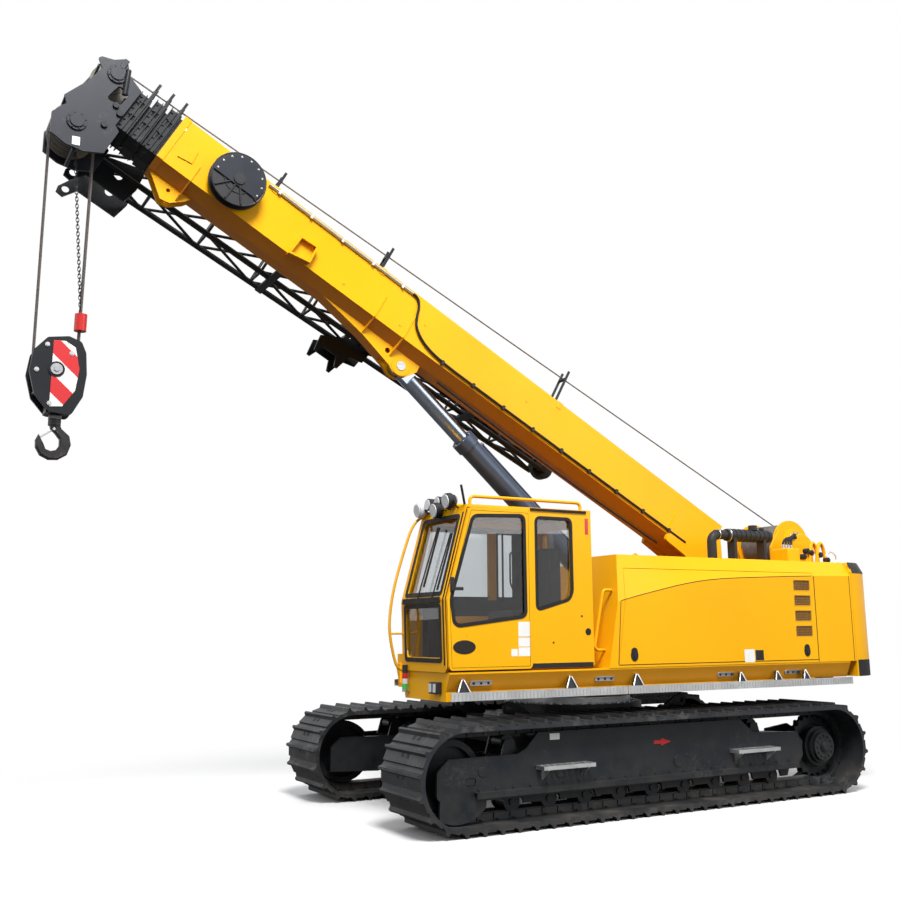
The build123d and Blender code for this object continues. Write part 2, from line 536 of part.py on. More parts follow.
def make_boom():
    base = tube(BASE, 12, 180, 7950)
    lip = (222.0, 686.0, 146.0, 46.0, 98.0)
    base += tube(lip, 12, 7880, 7950, BASE)
    heel = side_plate(
        [(-150, -60), (-60, -155), (110, -150), (560, 40), (900, 60), (900, 420), (560, 560), (180, 560),
         (-80, 130)], 190, 232, 30,
    )
    heel += disc_y(0, 0, 150, 190, 262)
    base += both_sides(heel - disc_y(0, 0, 75.1, 180, 270)) - front_plate(outline(BASE, 12), 170, 1000)

    # Keel below the cylinder's pin: two webs with flanges, joined by a bottom plate and ribs.
    keel = [(5908, 60), (5908, 90), (4560, 90), (4560, -30), (4640, -145), (4700, -185), (4800, -190),
            (4867, -150), (5281, -40)]
    web = side_plate(keel, 57, 87)
    web += disc_y(*ROD_PIN, 108, 57, 95)
    web -= disc_y(*ROD_PIN, 50.1, 50, 100)
    web -= disc_y(4960, -20, 30, 50, 100)
    base += both_sides(web) - front_plate(outline(BASE, 12), 4500, 6000)
    line = [(5900, 58), (5281, -42), (4980, -118), (4980, -104), (5281, -28), (5900, 72)]
    floor = side_plate(line, -57, 57)
    base += floor - front_plate(outline(BASE, 12), 4900, 6000)
    for s, low in ((5290, -28), (4905, -60)):
        rib = front_plate([(224, 420), (214, 440), (200, 440), (75, 40), (75, low), (95, low), (224, 150)], s, s + 14)
        base += both_sides(rib) - front_plate(outline(BASE, 12), s - 5, s + 20)

    # Front lug for the stowed jib, a rib above it and a raised pad beside it.
    lug = [(7945, 64), (7694, -139), (7604, -119), (7490, -2), (7450, 64)]
    lug_plate = side_plate(lug, 48, 72, 8) - disc_y(7680, -15, 20, 40, 80)
    base += both_sides(lug_plate) - front_plate(outline(BASE, 12), 7400, 7960)
    rib = front_plate([(224, 330), (214, 345), (200, 345), (60, 40), (60, -60), (76, -60), (224, 140)], 7560, 7574)
    base += both_sides(rib) - front_plate(outline(BASE, 12), 7500, 7600)
    base += side_plate([(7802, 350), (7795, 275), (7645, 302), (7660, 450)], 205, 224)
    # Boxed bracket on the driver's side.
    bracket = side_plate([(6395, 355), (6185, 370), (6175, 160), (6412, 110)], 205, 300)
    bracket -= side_plate([(6375, 335), (6205, 348), (6197, 178), (6392, 135)], 240, 310)
    base += bracket
    base += disc_y(*REEL, 48, 205, 257)
    save("boom_base", boom_frame * base)
    save("cylinder_top_pin", boom_frame * disc_y(*ROD_PIN, 50, -102, 102))

    reel = disc_y(*REEL, REEL_R, 262, 276) + disc_y(*REEL, REEL_R, 358, 372) + disc_y(*REEL, 205, 276, 358)
    reel += disc_y(*REEL, 60, 372, 400)
    save("cable_reel", boom_frame * reel)
    save("rope_guides", *[boom_frame * rope_guide(s, BASE[1]) for s in (2905, 5460, 6842)])

    for name, section, rear, front, collar_rear, collar in SECTIONS:
        whole = tube(section, 12, rear, front)
        ring = front_plate(outline(collar), collar_rear, front)
        ring -= front_plate(outline(section, 6), collar_rear - 5, front + 5)
        for level in (330, 500):
            for y in (collar[0], -collar[0]):
                s = (collar_rear + front) / 2
                ring -= box(s - 28, s + 28, y - 14, y + 14, level - 30, level + 30)
        whole += ring + rope_guide(collar_rear + 40, collar[1])
        save(name, boom_frame * whole)


def make_head():
    """Boom head: two curved side plates with rope-keeper horns, cross tubes and its sheaves."""
    plate = side_plate(
        [(8400, 590), (8560, 650), (8640, 740), (8664, 772), (8700, 760), (8762, 690), (8862, 640), (8880, 610),
         (8800, 540), (8822, 345), (8905, 70), (8840, 25), (8895, -145), (8800, -318), (8640, -330),
         (8480, -290), (8330, -180), (8340, 95), (8400, 130)], 215, 245, 9,
    )
    plate -= disc_y(*HEAD_PIN, 45.1, 205, 255)
    plate -= disc_y(*TOP_PIN, 45.1, 205, 255)
    plate -= side_plate([(8470, 480), (8590, 500), (8610, 300), (8470, 330)], 205, 255, 30)
    head = both_sides(plate)
    for s, t, r in ((8480, 200, 45), (8450, 420, 38), (8560, -300, 22), (8870, 110, 22)):
        head += disc_y(s, t, r, -216, 216)
    head += box(8400, 8434, -216, 216, 130, 585)
    save("boom_head", boom_frame * head)
    pins = [disc_y(*HEAD_PIN, 45, -265, 265), disc_y(*TOP_PIN, 45, -265, 265)]
    save("head_pins", *[boom_frame * pin for pin in pins])

    def sheave(count, pitch):
        body = disc_y(0, 0, 75, -pitch * count / 2, pitch * count / 2)
        for n in range(count):
            y = pitch * (n - (count - 1) / 2)
            groove = disc_y(0, 0, SHEAVE_R + 5, y - 11, y + 11) - disc_y(0, 0, SHEAVE_R - 25, y - 12, y + 12)
            disc = disc_y(0, 0, SHEAVE_R, y - 24, y + 24) - groove
            dish = disc_y(0, 0, SHEAVE_R - 45, y + 12, y + 30) - disc_y(0, 0, 95, y + 10, y + 32)
            body += disc - dish
        return body - disc_y(0, 0, 45.1, -300, 300)

    save("lower_sheaves", boom_frame * Pos(HEAD_PIN[0], 0, HEAD_PIN[1]) * sheave(4, 90))
    save("upper_sheave", boom_frame * Pos(TOP_PIN[0], 0, TOP_PIN[1]) * sheave(1, 200))


def make_jib():
    """Stowed lattice jib beside the boom: four chords that taper, lacing, foot forks and tip."""
    foot_s, tip_s = 8480.0, 2350.0

    def corner(share, side, level):
        """Chord centre at a share of the length, side -1 near the boom, level 0 or 1."""
        s = foot_s + (tip_s - foot_s) * share
        low = 130 + 150 * share
        high = 590 - 170 * share
        y = -790 - side * (230 - 120 * share)
        return Vector(s, y, low + (high - low) * level)

    bays = 9
    solid = None
    for side in (-1, 1):
        for level in (0, 1):
            bar = rod(corner(0, side, level), corner(1, side, level), 32)
            solid = bar if solid is None else solid + bar
    for n in range(bays + 1):
        share = n / bays
        a, b = corner(share, -1, 0), corner(share, 1, 0)
        c, d = corner(share, 1, 1), corner(share, -1, 1)
        for p, q in ((a, b), (b, c), (c, d), (d, a)):
            solid += rod(p, q, 16)
        if n < bays:
            e, f = corner((n + 1) / bays, 1, 0), corner((n + 1) / bays, -1, 1)
            g, h = corner((n + 1) / bays, 1, 1), corner((n + 1) / bays, -1, 0)
            for p, q in ((a, e), (d, g), (a, f), (b, g)):
                solid += rod(p, q, 16)
    solid += disc_y(tip_s - 60, 350, 150, -830, -750) + box(tip_s - 90, tip_s + 60, -900, -680, 270, 430)
    foot = [(8560, -250), (8480, -260), (8400, -110), (7960, -110), (7930, 80), (7965, 320), (8440, 160),
            (8480, 20), (8520, -60), (8575, -190)]
    for y in (-575, -1035):
        cheek = side_plate(foot, y, y + 30)
        cheek -= disc_y(8150, 90, 45, y - 5, y + 35)
        solid += cheek - disc_y(8500, -170, 38, y - 5, y + 35)
    cradle = [(5500, 40), (5480, -150), (5440, -150), (5400, -60), (5230, -60), (5190, -180), (5150, -180),
              (5090, 20), (4930, 60), (4900, 240), (5090, 270)]
    for y in (-740, -960):
        solid += side_plate(cradle, y, y + 24)
    solid += box(4960, 5380, -960, -716, 60, 84) + box(5200, 5260, -960, -716, 84, 230)
    save("lattice_jib", boom_frame * solid)

    # Two arms carry the jib off the boom's side, each with a post up to the lower chords.
    arms = []
    for s in (3600, 6300):
        share = (foot_s - s) / (foot_s - tip_s)
        near, far = corner(share, -1, 0), corner(share, 1, 0)
        top = near.Z - 32 - 6
        arm = box(s - 40, s + 40, far.Y - 40, -214, 150, 186)
        arm += box(s - 40, s + 40, -226, -214, 143, 420)
        for y in (near.Y, far.Y):
            arm += box(s - 30, s + 30, y - 30, y + 30, 186, max(top, 190))
        arms.append(boom_frame * arm - boom_frame * solid)
    save("jib_brackets", *arms)


def cylinder_frame():
    """Lift cylinder's own frame: X from the foot pin to the rod's pin."""
    a = radians(LUFF_REST)
    top_x = PIVOT.X + ROD_PIN[0] * cos(a) - ROD_PIN[1] * sin(a)
    top_z = PIVOT.Z + ROD_PIN[0] * sin(a) + ROD_PIN[1] * cos(a)
    rise, run = top_z - FOOT.Z, top_x - FOOT.X
    length = hypot(rise, run)
    return Pos(FOOT.X, 0, FOOT.Z) * Rot(0, -degrees(atan2(rise, run)), 0), length


def make_lift_cylinder():
    place, length = cylinder_frame()
    print("lift cylinder length at rest", round(length, 2))
    along = Rot(0, 90, 0)
    barrel = Pos(BARREL_LENGTH / 2 + 60, 0, 0) * along * Cylinder(BARREL_R, BARREL_LENGTH - 120)
    barrel += Pos(BARREL_LENGTH - 60, 0, 0) * along * Cylinder(BARREL_R + 16, 120)
    barrel += disc_y(0, 0, 112, -120, 120)
    barrel -= disc_y(0, 0, 62, -130, 130)
    bore_length = BARREL_LENGTH - 260
    barrel -= Pos(260 + bore_length / 2 + 5, 0, 0) * along * Cylinder(ROD_R + 0.1, bore_length + 10)
    save("lift_barrel", place * barrel)
    rod_length = 2350.0
    shaft = Pos(length - 60 - rod_length / 2, 0, 0) * along * Cylinder(ROD_R, rod_length)
    shaft -= both_sides(box(length - 190, length + 100, 52, 100, -120, 120))
    eye = disc_y(length, 0, 92, -52, 52)
    save("lift_rod", place * (shaft + eye - disc_y(length, 0, 50.1, -100, 100)))


def make_hook():
    """Hook block below the head, the limit weight round the rear fall, and the hook."""
    a = radians(LUFF_REST)
    x = PIVOT.X + HEAD_PIN[0] * cos(a) - HEAD_PIN[1] * sin(a)
    z = PIVOT.Z + HEAD_PIN[0] * sin(a) + HEAD_PIN[1] * cos(a)
    print("head pin", round(x, 2), round(z, 2))
    weight = disc_z(x - 189, 46.5, 55, 4480, 4640) - disc_z(x - 189, 46.5, 20, 4470, 4650)
    save("limit_weight", weight)
    cheek = [(x - 200, 4360), (x - 90, 4400), (x + 90, 4370), (x + 200, 4240), (x + 225, 4050), (x + 170, 3840),
             (x + 40, 3690), (x - 150, 3675), (x - 240, 3850), (x - 262, 4060), (x - 245, 4260)]
    plate = side_plate(cheek, 95, 130, 40)
    block = both_sides(plate + disc_y(x, 4080, 70, 130, 142))
    block += disc_y(x, 4080, 60, -96, 96) + box(x - 130, x + 60, -96, 96, 3690, 3780)
    for dx, z0 in ((150, 4230), (-190, 4230), (150, 3880)):
        block += disc_y(x + dx, z0, 18, -96, 96)
    for y in (-47, 47):
        block += disc_y(x, 4080, 200, y - 22, y + 22) - disc_y(x, 4080, 210, y - 9, y + 9)
        block += disc_y(x, 4080, 178, y - 9, y + 9)
    save("hook_block", block)

    # Forged hook: an open bowl with a thick back, its tip turned up, on a round shank.
    cx, cz = x - 35, 3437.0
    bowl = [(cx - 42, 3600), (cx - 60, 3560), (cx - 130, 3500), (cx - 148, 3420), (cx - 120, 3330), (cx - 50, 3284),
            (cx + 30, 3279), (cx + 105, 3315), (cx + 146, 3385), (cx + 150, 3450), (cx + 128, 3500), (cx + 108, 3460),
            (cx + 84, 3418), (cx + 62, 3368), (cx + 20, 3354), (cx - 25, 3366), (cx - 52, 3410), (cx - 50, 3470),
            (cx - 10, 3520), (cx + 30, 3560), (cx + 42, 3600)]
    body = side_plate(bowl, -42, 42)
    rims = body.edges().group_by(Axis.Y)
    body = chamfer(ShapeList(rims[0] + rims[-1]), 11)
    shank = disc_z(cx, 0, 38, 3585, 3689) + disc_z(cx, 0, 55, 3590, 3640)
    save("hook", body + shank)


make_undercarriage()
make_slew_frame()
make_counterweight()
make_housings()
make_cab()
make_winch()
make_boom()
make_head()
make_jib()
make_lift_cylinder()
make_hook()
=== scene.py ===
from math import cos, radians, sin

import bmesh
import bpy
from bpy.props import FloatProperty, FloatVectorProperty, IntProperty, PointerProperty
from mathutils import Matrix, Vector


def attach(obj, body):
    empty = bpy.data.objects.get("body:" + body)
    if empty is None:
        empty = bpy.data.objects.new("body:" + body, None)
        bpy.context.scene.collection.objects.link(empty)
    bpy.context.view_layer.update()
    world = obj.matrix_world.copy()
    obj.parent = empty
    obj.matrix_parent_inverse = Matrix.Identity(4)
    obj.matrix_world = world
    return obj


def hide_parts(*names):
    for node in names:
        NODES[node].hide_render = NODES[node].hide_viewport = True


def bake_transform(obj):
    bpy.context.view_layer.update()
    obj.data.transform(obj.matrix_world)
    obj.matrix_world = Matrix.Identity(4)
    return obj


bl_info = {
    "name": "Crawler Crane Dressing",
    "version": (1, 0, 0),
    "blender": (4, 5, 0),
    "location": "View3D > Sidebar > Crane",
    "description": "Dresses a telescopic crawler crane: finishes, ropes, glazing trim and fittings",
    "category": "Object",
}

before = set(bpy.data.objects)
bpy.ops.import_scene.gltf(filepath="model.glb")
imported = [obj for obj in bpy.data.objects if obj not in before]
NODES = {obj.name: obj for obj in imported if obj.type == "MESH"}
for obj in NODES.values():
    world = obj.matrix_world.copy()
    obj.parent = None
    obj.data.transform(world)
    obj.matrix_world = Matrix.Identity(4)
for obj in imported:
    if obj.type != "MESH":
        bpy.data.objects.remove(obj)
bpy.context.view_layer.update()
MM = 0.001

# The main places that the pieces are set against, in millimetres. The boom's own are along and across it.
BOOM_ANGLE = radians(28.8)
PIVOT = (-2003.0, 2322.0)
HEAD_PIN = (8680.0, -75.0)
TOP_PIN = (8662.0, 580.0)
SHEAVE_GROOVE = 200.0
ROPE_SLOPE = 0.0531
REEL = (7206, 400)
CYLINDER_TOP = (4750, -80)
CYLINDER_FOOT = (-1150, 0, 1550)
WINCH = (-3230.0, 2800.0)
WINCH_WRAP = 262.0
BLOCK_Z = 4080
TRACK_R, TRACK_MID, IDLER_X, SPROCKET_X = 480.0, 1200, 2268.0, -2376.0
SIDE_Y = 1416.0
DOOR_Y = 1420.0
SIDES = (("left", 1), ("right", -1))
X_WAY, Y_WAY, UPRIGHT = (1, 0, 0), (0, 1, 0), (0, 0, 1)
CAMERA_PLACE = (6.9725, 9.8869, 1.7578)     # metres
CAMERA_TURN = (-120.295, 11.462, -0.415)    # yaw, pitch and roll in degrees


# ---------------------------------------------------------------- sizes and colours
class CraneSizes(bpy.types.PropertyGroup):
    rope: FloatProperty(name="Rope radius", description="Radius of the hoist rope", default=0.008, unit="LENGTH")
    hose: FloatProperty(name="Hose radius", description="Radius of the hydraulic hoses", default=0.014, unit="LENGTH")
    seal: FloatProperty(name="Seal width", description="Width of the rubber round the glass", default=0.026,
                        unit="LENGTH")
    links: IntProperty(name="Track links", description="Links in each track's chain", default=66)


class CraneColours(bpy.types.PropertyGroup):
    body: FloatVectorProperty(name="Body", description="Golden paint of the upper works", subtype="COLOR",
                              default=(0.93, 0.445, 0.003))
    under: FloatVectorProperty(name="Undercarriage", description="Blue-black paint below", subtype="COLOR",
                               default=(0.010, 0.0135, 0.018))
    black: FloatVectorProperty(name="Boom black", description="Satin black of the sections", subtype="COLOR",
                               default=(0.008, 0.0095, 0.0125))
    cylinder: FloatVectorProperty(name="Cylinder", description="Blue-grey of the lift cylinder", subtype="COLOR",
                                  default=(0.05, 0.07, 0.11))


# ---------------------------------------------------------------- shared shader effects
def feed(tree, kind, inputs=None, out=0, **settings):
    """Add a node and give one of its outputs. Each input is a value, or the socket that feeds it."""
    node = tree.nodes.new(kind if "Node" in kind else "ShaderNode" + kind)
    for key, value in settings.items():
        setattr(node, key, value)
    for key, value in (inputs or {}).items():
        if isinstance(value, bpy.types.NodeSocket):
            tree.links.new(value, node.inputs[key])
        else:
            node.inputs[key].default_value = value
    return node.outputs[out]


def mask_group(name, **inputs):
    """A shader group that takes coordinates and some numbers, ready to give a mask."""
    tree = bpy.data.node_groups.new(name, "ShaderNodeTree")
    tree.interface.new_socket(name="Coordinates", in_out="INPUT", socket_type="NodeSocketVector")
    for key, value in inputs.items():
        tree.interface.new_socket(name=key, in_out="INPUT", socket_type="NodeSocketFloat").default_value = value
    tree.interface.new_socket(name="Mask", in_out="OUTPUT", socket_type="NodeSocketFloat")
    return tree, tree.nodes.new("NodeGroupInput").outputs, tree.nodes.new("NodeGroupOutput").inputs["Mask"]


def grime_group():
    """Dust that gathers low down and on faces that look up, broken up by noise."""
    tree, given, mask = mask_group("settled_dust", Reach=1.2, Amount=0.5)
    height = feed(tree, "SeparateXYZ", {0: given["Coordinates"]}, "Z")
    low = feed(tree, "MapRange", {"Value": height, "From Min": 0.0, "From Max": given["Reach"], "To Min": 1.0,
                                  "To Max": 0.0})
    facing = feed(tree, "SeparateXYZ", {0: feed(tree, "NewGeometry", out="Normal")}, "Z")
    up = feed(tree, "MapRange", {"Value": facing, "From Min": 0.35, "From Max": 1.0, "To Max": 0.35})
    both = feed(tree, "Math", {0: low, 1: up}, operation="ADD")
    cloud = feed(tree, "TexNoise", {"Vector": given["Coordinates"], "Scale": 3.1, "Detail": 7.0, "Roughness": 0.65})
    patches = feed(tree, "MapRange", {"Value": cloud, "From Min": 0.38, "From Max": 0.72})
    times = feed(tree, "Math", {0: both, 1: patches}, operation="MULTIPLY")
    tree.links.new(feed(tree, "Math", {0: times, 1: given["Amount"]}, operation="MULTIPLY", use_clamp=True), mask)
    return tree


def wear_group():
    """Small rubbed spots and streaks where paint has thinned."""
    tree, given, mask = mask_group("rubbed_spots", Scale=14.0, Cover=0.1)
    fine = feed(tree, "TexNoise", {"Vector": given["Coordinates"], "Scale": given["Scale"], "Detail": 9.0,
                                   "Roughness": 0.7})
    broad = feed(tree, "TexNoise", {"Vector": given["Coordinates"], "Scale": 1.7})
    mix = feed(tree, "Math", {0: fine, 1: broad}, operation="MULTIPLY")
    more = feed(tree, "Math", {0: mix, 1: given["Cover"]}, operation="ADD")
    tree.links.new(feed(tree, "MapRange", {"Value": more, "From Min": 0.42, "From Max": 0.5}), mask)
    return tree


GRIME, WEAR = grime_group(), wear_group()


class Finish:
    """A procedural material on Object coordinates, built up layer by layer."""

    def __init__(self, name, colour, rough, metal=0.0, coat=0.0, shine=0.5):
        self.material = bpy.data.materials.new(name)
        self.material.use_nodes = True
        self.material.diffuse_color = (*colour, 1)
        self.tree = self.material.node_tree
        self.shader = self.tree.nodes["Principled BSDF"].inputs
        for key, value in (("Base Color", (*colour, 1)), ("Roughness", rough), ("Metallic", metal),
                           ("Specular IOR Level", shine), ("Coat Weight", coat), ("Coat Roughness", 0.12)):
            self.shader[key].default_value = value
        self.coordinates = self.add("TexCoord", out="Object")
        self.colour, self.rough = (*colour, 1), rough

    def add(self, kind, inputs=None, out=0, **settings):
        return feed(self.tree, kind, inputs, out, **settings)

    def place(self, scale=(1, 1, 1), turn=(0, 0, 0), shift=(0, 0, 0)):
        return self.add("Mapping", {"Vector": self.coordinates, "Scale": scale, "Rotation": turn, "Location": shift})

    def noise(self, scale, detail=4.0, low=0.35, high=0.65, at=None):
        return self.span(self.add("TexNoise", {"Vector": at or self.coordinates, "Scale": scale, "Detail": detail}),
                         low, high)

    def span(self, value, low, high, to_low=0.0, to_high=1.0):
        return self.add("MapRange", {"Value": value, "From Min": low, "From Max": high, "To Min": to_low,
                                     "To Max": to_high})

    def group(self, tree, **values):
        return self.add("Group", {"Coordinates": self.coordinates, **values}, node_tree=tree)

    def wave(self, scale, direction="X", at=None):
        return self.add("TexWave", {"Vector": at or self.coordinates, "Scale": scale}, "Fac",
                        bands_direction=direction)

    def tint(self, mask, colour, strength=1.0):
        """Lay a colour over what is there, where the mask is."""
        if strength != 1.0:
            mask = self.span(mask, 0, 1, 0, strength)
        self.colour = self.add("Mix", {0: mask, 6: self.colour, 7: (*colour, 1)}, 2, data_type="RGBA")
        self.tree.links.new(self.colour, self.shader["Base Color"])
        return self

    def roughen(self, mask, value):
        """Move the roughness towards a value where the mask is."""
        self.rough = self.add("Mix", {0: mask, 2: self.rough, 3: value})
        self.tree.links.new(self.rough, self.shader["Roughness"])
        return self

    def emboss(self, height, distance, strength=1.0):
        """The last layer, a bump, which gives the finished material."""
        bump = self.add("Bump", {"Height": height, "Distance": distance, "Strength": strength})
        self.tree.links.new(bump, self.shader["Normal"])
        return self.material


def lighter(colour, by):
    return tuple(min(1.0, c * by) for c in colour)


def painted(name, colour, rough, coat, dust, reach, chips, chip, shine=0.25, underside_shade=None):
    """Paint with uneven tone, small chips, dust, and, if asked, painted shade: a deeper tone on faces that look down.
    """
    f = Finish(name, colour, rough, coat=coat, shine=shine)
    f.tint(f.noise(0.9, 3.0), lighter(colour, 0.9), 0.6)
    f.tint(f.noise(0.7, 2.0, at=f.place(shift=(5, 3, 1))), lighter(colour, 1.12), 0.4)
    f.tint(f.group(WEAR, Scale=22.0, Cover=chips), chip, 0.5)
    if underside_shade:
        # Painted shade: faces that look down take a deeper, browner tone, standing in for the shade under them.
        facing = f.add("SeparateXYZ", {0: f.add("NewGeometry", out="Normal")}, "Z")
        f.tint(f.span(facing, -0.1, -0.6), underside_shade, 0.85)
    dusty = f.group(GRIME, Reach=reach, Amount=dust)
    f.tint(dusty, (0.23, 0.19, 0.14), 0.75).roughen(dusty, 0.8)
    f.roughen(f.noise(6.0, 5.0, 0.4, 0.8), rough + 0.12)
    return f.emboss(f.noise(90.0, 2.0, 0.2, 0.8), 0.0006, 0.25)


def bare_metal(name, colour, rough=0.3, brushed=60.0, dust=0.1):
    f = Finish(name, colour, rough, metal=1.0)
    grain = f.noise(brushed, 3.0, 0.3, 0.7, f.place(scale=(0.08, 1, 1)))
    f.tint(grain, lighter(colour, 0.78), 0.7).roughen(grain, rough + 0.14)
    f.tint(f.group(GRIME, Reach=1.4, Amount=dust), (0.12, 0.10, 0.08), 0.6)
    return f.emboss(grain, 0.0004, 0.3)


def moulded(name, colour, rough=0.5, grain=240.0):
    f = Finish(name, colour, rough, shine=0.3)
    f.tint(f.noise(4.0), lighter(colour, 1.5), 0.4)
    f.tint(f.group(GRIME, Reach=1.5, Amount=0.25), (0.2, 0.17, 0.13), 0.5)
    f.roughen(f.noise(12.0), rough + 0.15)
    return f.emboss(f.noise(grain, 1.0, 0.3, 0.7), 0.0005, 0.4)


def track_steel(name):
    f = Finish(name, (0.016, 0.019, 0.024), 0.48, metal=0.35)
    f.tint(f.noise(5.0, 6.0), (0.035, 0.036, 0.038), 0.8)
    f.tint(f.group(WEAR, Scale=9.0, Cover=0.14), (0.10, 0.098, 0.095), 0.6)
    dusty = f.group(GRIME, Reach=0.5, Amount=0.7)
    f.tint(dusty, (0.13, 0.11, 0.085), 0.6).roughen(dusty, 0.85)
    return f.emboss(f.noise(38.0, 6.0, 0.2, 0.8), 0.0025, 0.5)


def forged(name, colour):
    f = Finish(name, colour, 0.46, metal=0.5)
    f.tint(f.noise(7.0, 6.0), lighter(colour, 1.9), 0.7)
    f.tint(f.group(WEAR, Scale=18.0, Cover=0.1), (0.16, 0.12, 0.09), 0.5)
    return f.emboss(f.noise(46.0, 5.0, 0.25, 0.75), 0.0015, 0.5)


def chequered(name):
    """Bare alloy tread with a raised lozenge pattern."""
    f = Finish(name, (0.60, 0.61, 0.62), 0.36, metal=0.9)
    slant, other = (f.wave(11.0, at=f.place(turn=(0, 0, radians(angle)))) for angle in (45, -45))
    f.tint(f.noise(3.0, 5.0), (0.42, 0.42, 0.42), 0.6)
    f.tint(f.group(GRIME, Reach=2.0, Amount=0.35), (0.3, 0.27, 0.22), 0.6)
    f.roughen(f.noise(9.0), 0.55)
    return f.emboss(f.add("Math", {0: slant, 1: other}, operation="MINIMUM"), 0.003, 0.5)


def glazing(name):
    f = Finish(name, (0.70, 0.72, 0.735), 0.0)
    f.shader["Transmission Weight"].default_value = 1.0
    f.shader["IOR"].default_value = 1.45
    f.tint(f.noise(1.6, 3.0), (0.64, 0.665, 0.68), 0.6)
    return f.roughen(f.noise(8.0, 5.0, 0.6, 0.95), 0.03).material


def woven(name):
    f = Finish(name, (0.035, 0.036, 0.04), 0.85)
    weave = f.add("Math", {0: f.wave(85.0, "X"), 1: f.wave(85.0, "Z")}, operation="MAXIMUM")
    f.shader["Sheen Weight"].default_value = 0.3
    return f.tint(weave, (0.06, 0.06, 0.068), 0.6).emboss(weave, 0.001, 0.6)


def laid_rope(name):
    """Steel rope: its own map runs round the rope and along it."""
    f = Finish(name, (0.24, 0.21, 0.20), 0.5, metal=0.5)
    f.coordinates = f.add("UVMap")
    strands = f.wave(6.0, "DIAGONAL", f.place(scale=(6.0, 1.0, 1.0)))
    return f.tint(strands, (0.045, 0.04, 0.036), 0.8).roughen(strands, 0.65).emboss(strands, 0.0015, 0.7)


def striped(name):
    """Red and white diagonal bands, for the hook block's side."""
    f = Finish(name, (0.78, 0.77, 0.74), 0.35, coat=0.4)
    bands = f.wave(1.18, at=f.place(turn=(0, radians(-48), 0), shift=(0.07, 0, 0)))
    f.tint(f.span(bands, 0.49, 0.51), (0.62, 0.012, 0.016))
    f.tint(f.group(WEAR, Scale=20.0, Cover=0.1), (0.1, 0.09, 0.08), 0.6)
    return f.emboss(f.noise(70.0), 0.0006, 0.3)


def glowing(name, colour):
    f = Finish(name, colour, 0.25)
    f.shader["Transmission Weight"].default_value = 0.2
    return f.tint(f.noise(30.0), lighter(colour, 0.8), 0.5).emboss(f.wave(60.0, "Z"), 0.001, 0.5)


def make_finishes():
    c = bpy.context.scene.crane_colours
    body = tuple(c.body)
    made = {
        "track": track_steel("track_steel"), "tread": chequered("alloy_tread"), "stripes": striped("warning_stripes"),
        "glass": glazing("tinted_glass"), "fabric": woven("seat_cloth"), "rope": laid_rope("steel_rope"),
        "engine": forged("cast_block", (0.12, 0.12, 0.12)), "hook": forged("forged_hook", (0.022, 0.022, 0.024)),
        "green": glowing("green_lens", (0.05, 0.6, 0.1)), "clear": glowing("clear_lens", (0.85, 0.86, 0.88)),
        "steel": bare_metal("machined_steel", (0.46, 0.47, 0.49)),
        "chrome": bare_metal("hard_chrome", (0.34, 0.39, 0.47), 0.14, 30.0, 0.0),
        "silver": bare_metal("plated_fittings", (0.66, 0.66, 0.65), 0.26),
    }
    # Key and name, then colour, roughness, coat, dust and its reach, chips and their colour, shine, and the painted
    # shade for faces that look down.
    for key, *values in (
        ("body", "golden_paint", body, 0.33, 0.06, 0.08, 1.9, 0.0, (0.55, 0.25, 0.02), 0.14, (0.40, 0.125, 0.02)),
        ("under", "undercarriage_paint", tuple(c.under), 0.34, 0.1, 0.25, 0.9, 0.09, (0.05, 0.05, 0.05)),
        ("black", "satin_black_paint", tuple(c.black), 0.4, 0.08, 0.1, 1.2, 0.05, (0.05, 0.05, 0.055)),
        ("head", "blue_black_paint", (0.014, 0.017, 0.026), 0.38, 0.1, 0.1, 1.2, 0.05, (0.06, 0.06, 0.07)),
        ("cylinder", "cylinder_paint", tuple(c.cylinder), 0.32, 0.2, 0.1, 1.2, 0.03, (0.12, 0.13, 0.15)),
        ("orange", "grab_paint", lighter(body, 0.9), 0.36, 0.4, 0.05, 1.2, 0.02, (0.4, 0.2, 0.02)),
        ("red", "red_paint", (0.55, 0.015, 0.012), 0.34, 0.4, 0.1, 1.2, 0.05, (0.1, 0.05, 0.05)),
    ):
        made[key] = painted(*values)
    # Key and name, then colour, roughness and the grain's scale.
    for key, *values in (
        # The cab's lining is near black: a dark lining that also stands for painted shade inside the cab.
        ("lining", "cab_lining", (0.03, 0.028, 0.027), 0.8), ("rubber", "black_rubber", (0.012, 0.012, 0.013), 0.6),
        ("plastic", "black_plastic", (0.018, 0.018, 0.02), 0.42), ("grey", "grey_plastic", (0.30, 0.30, 0.30)),
        ("sheave", "cast_sheave", (0.17, 0.155, 0.13), 0.55, 120.0),
        ("mesh", "vent_mesh", (0.20, 0.105, 0.035), 0.6, 320.0), ("label", "blank_label", (0.80, 0.80, 0.78), 0.4),
        ("gap", "shadow_gap", (0.10, 0.035, 0.006), 0.7), ("oval", "blank_plate", (0.012, 0.009, 0.007), 0.35),
    ):
        made[key] = moulded(*values)
    return made


FINISH = {}
NODE_FINISH = {
    "track": "track_loop_left track_loop_right",
    "under": "track_frame_left track_frame_right drive_sprockets idlers track_rollers carrier_rollers carbody",
    "steel": "slew_ring_lower boom_foot_pin cylinder_foot_pin cylinder_top_pin head_pins",
    "tread": "track_steps walkways",
    "body": "slew_frame counterweight housing_left housing_right fuel_tank front_deck cab_shell cab_rails "
            "winch_cradle cab_door service_door_left service_door_right winch_drum boom_base",
    "plastic": "air_filter control_console work_lamps cable_reel",
    "black": "rope_guides lattice_jib jib_brackets boom_section_1 boom_section_2 boom_section_3 hook_block",
    "engine": "engine", "glass": "cab_glass cab_door_glass", "fabric": "operator_seat", "orange": "front_guard",
    "head": "boom_head", "sheave": "lower_sheaves upper_sheave", "chrome": "lift_rod", "cylinder": "lift_barrel",
    "red": "limit_weight", "hook": "hook",
}


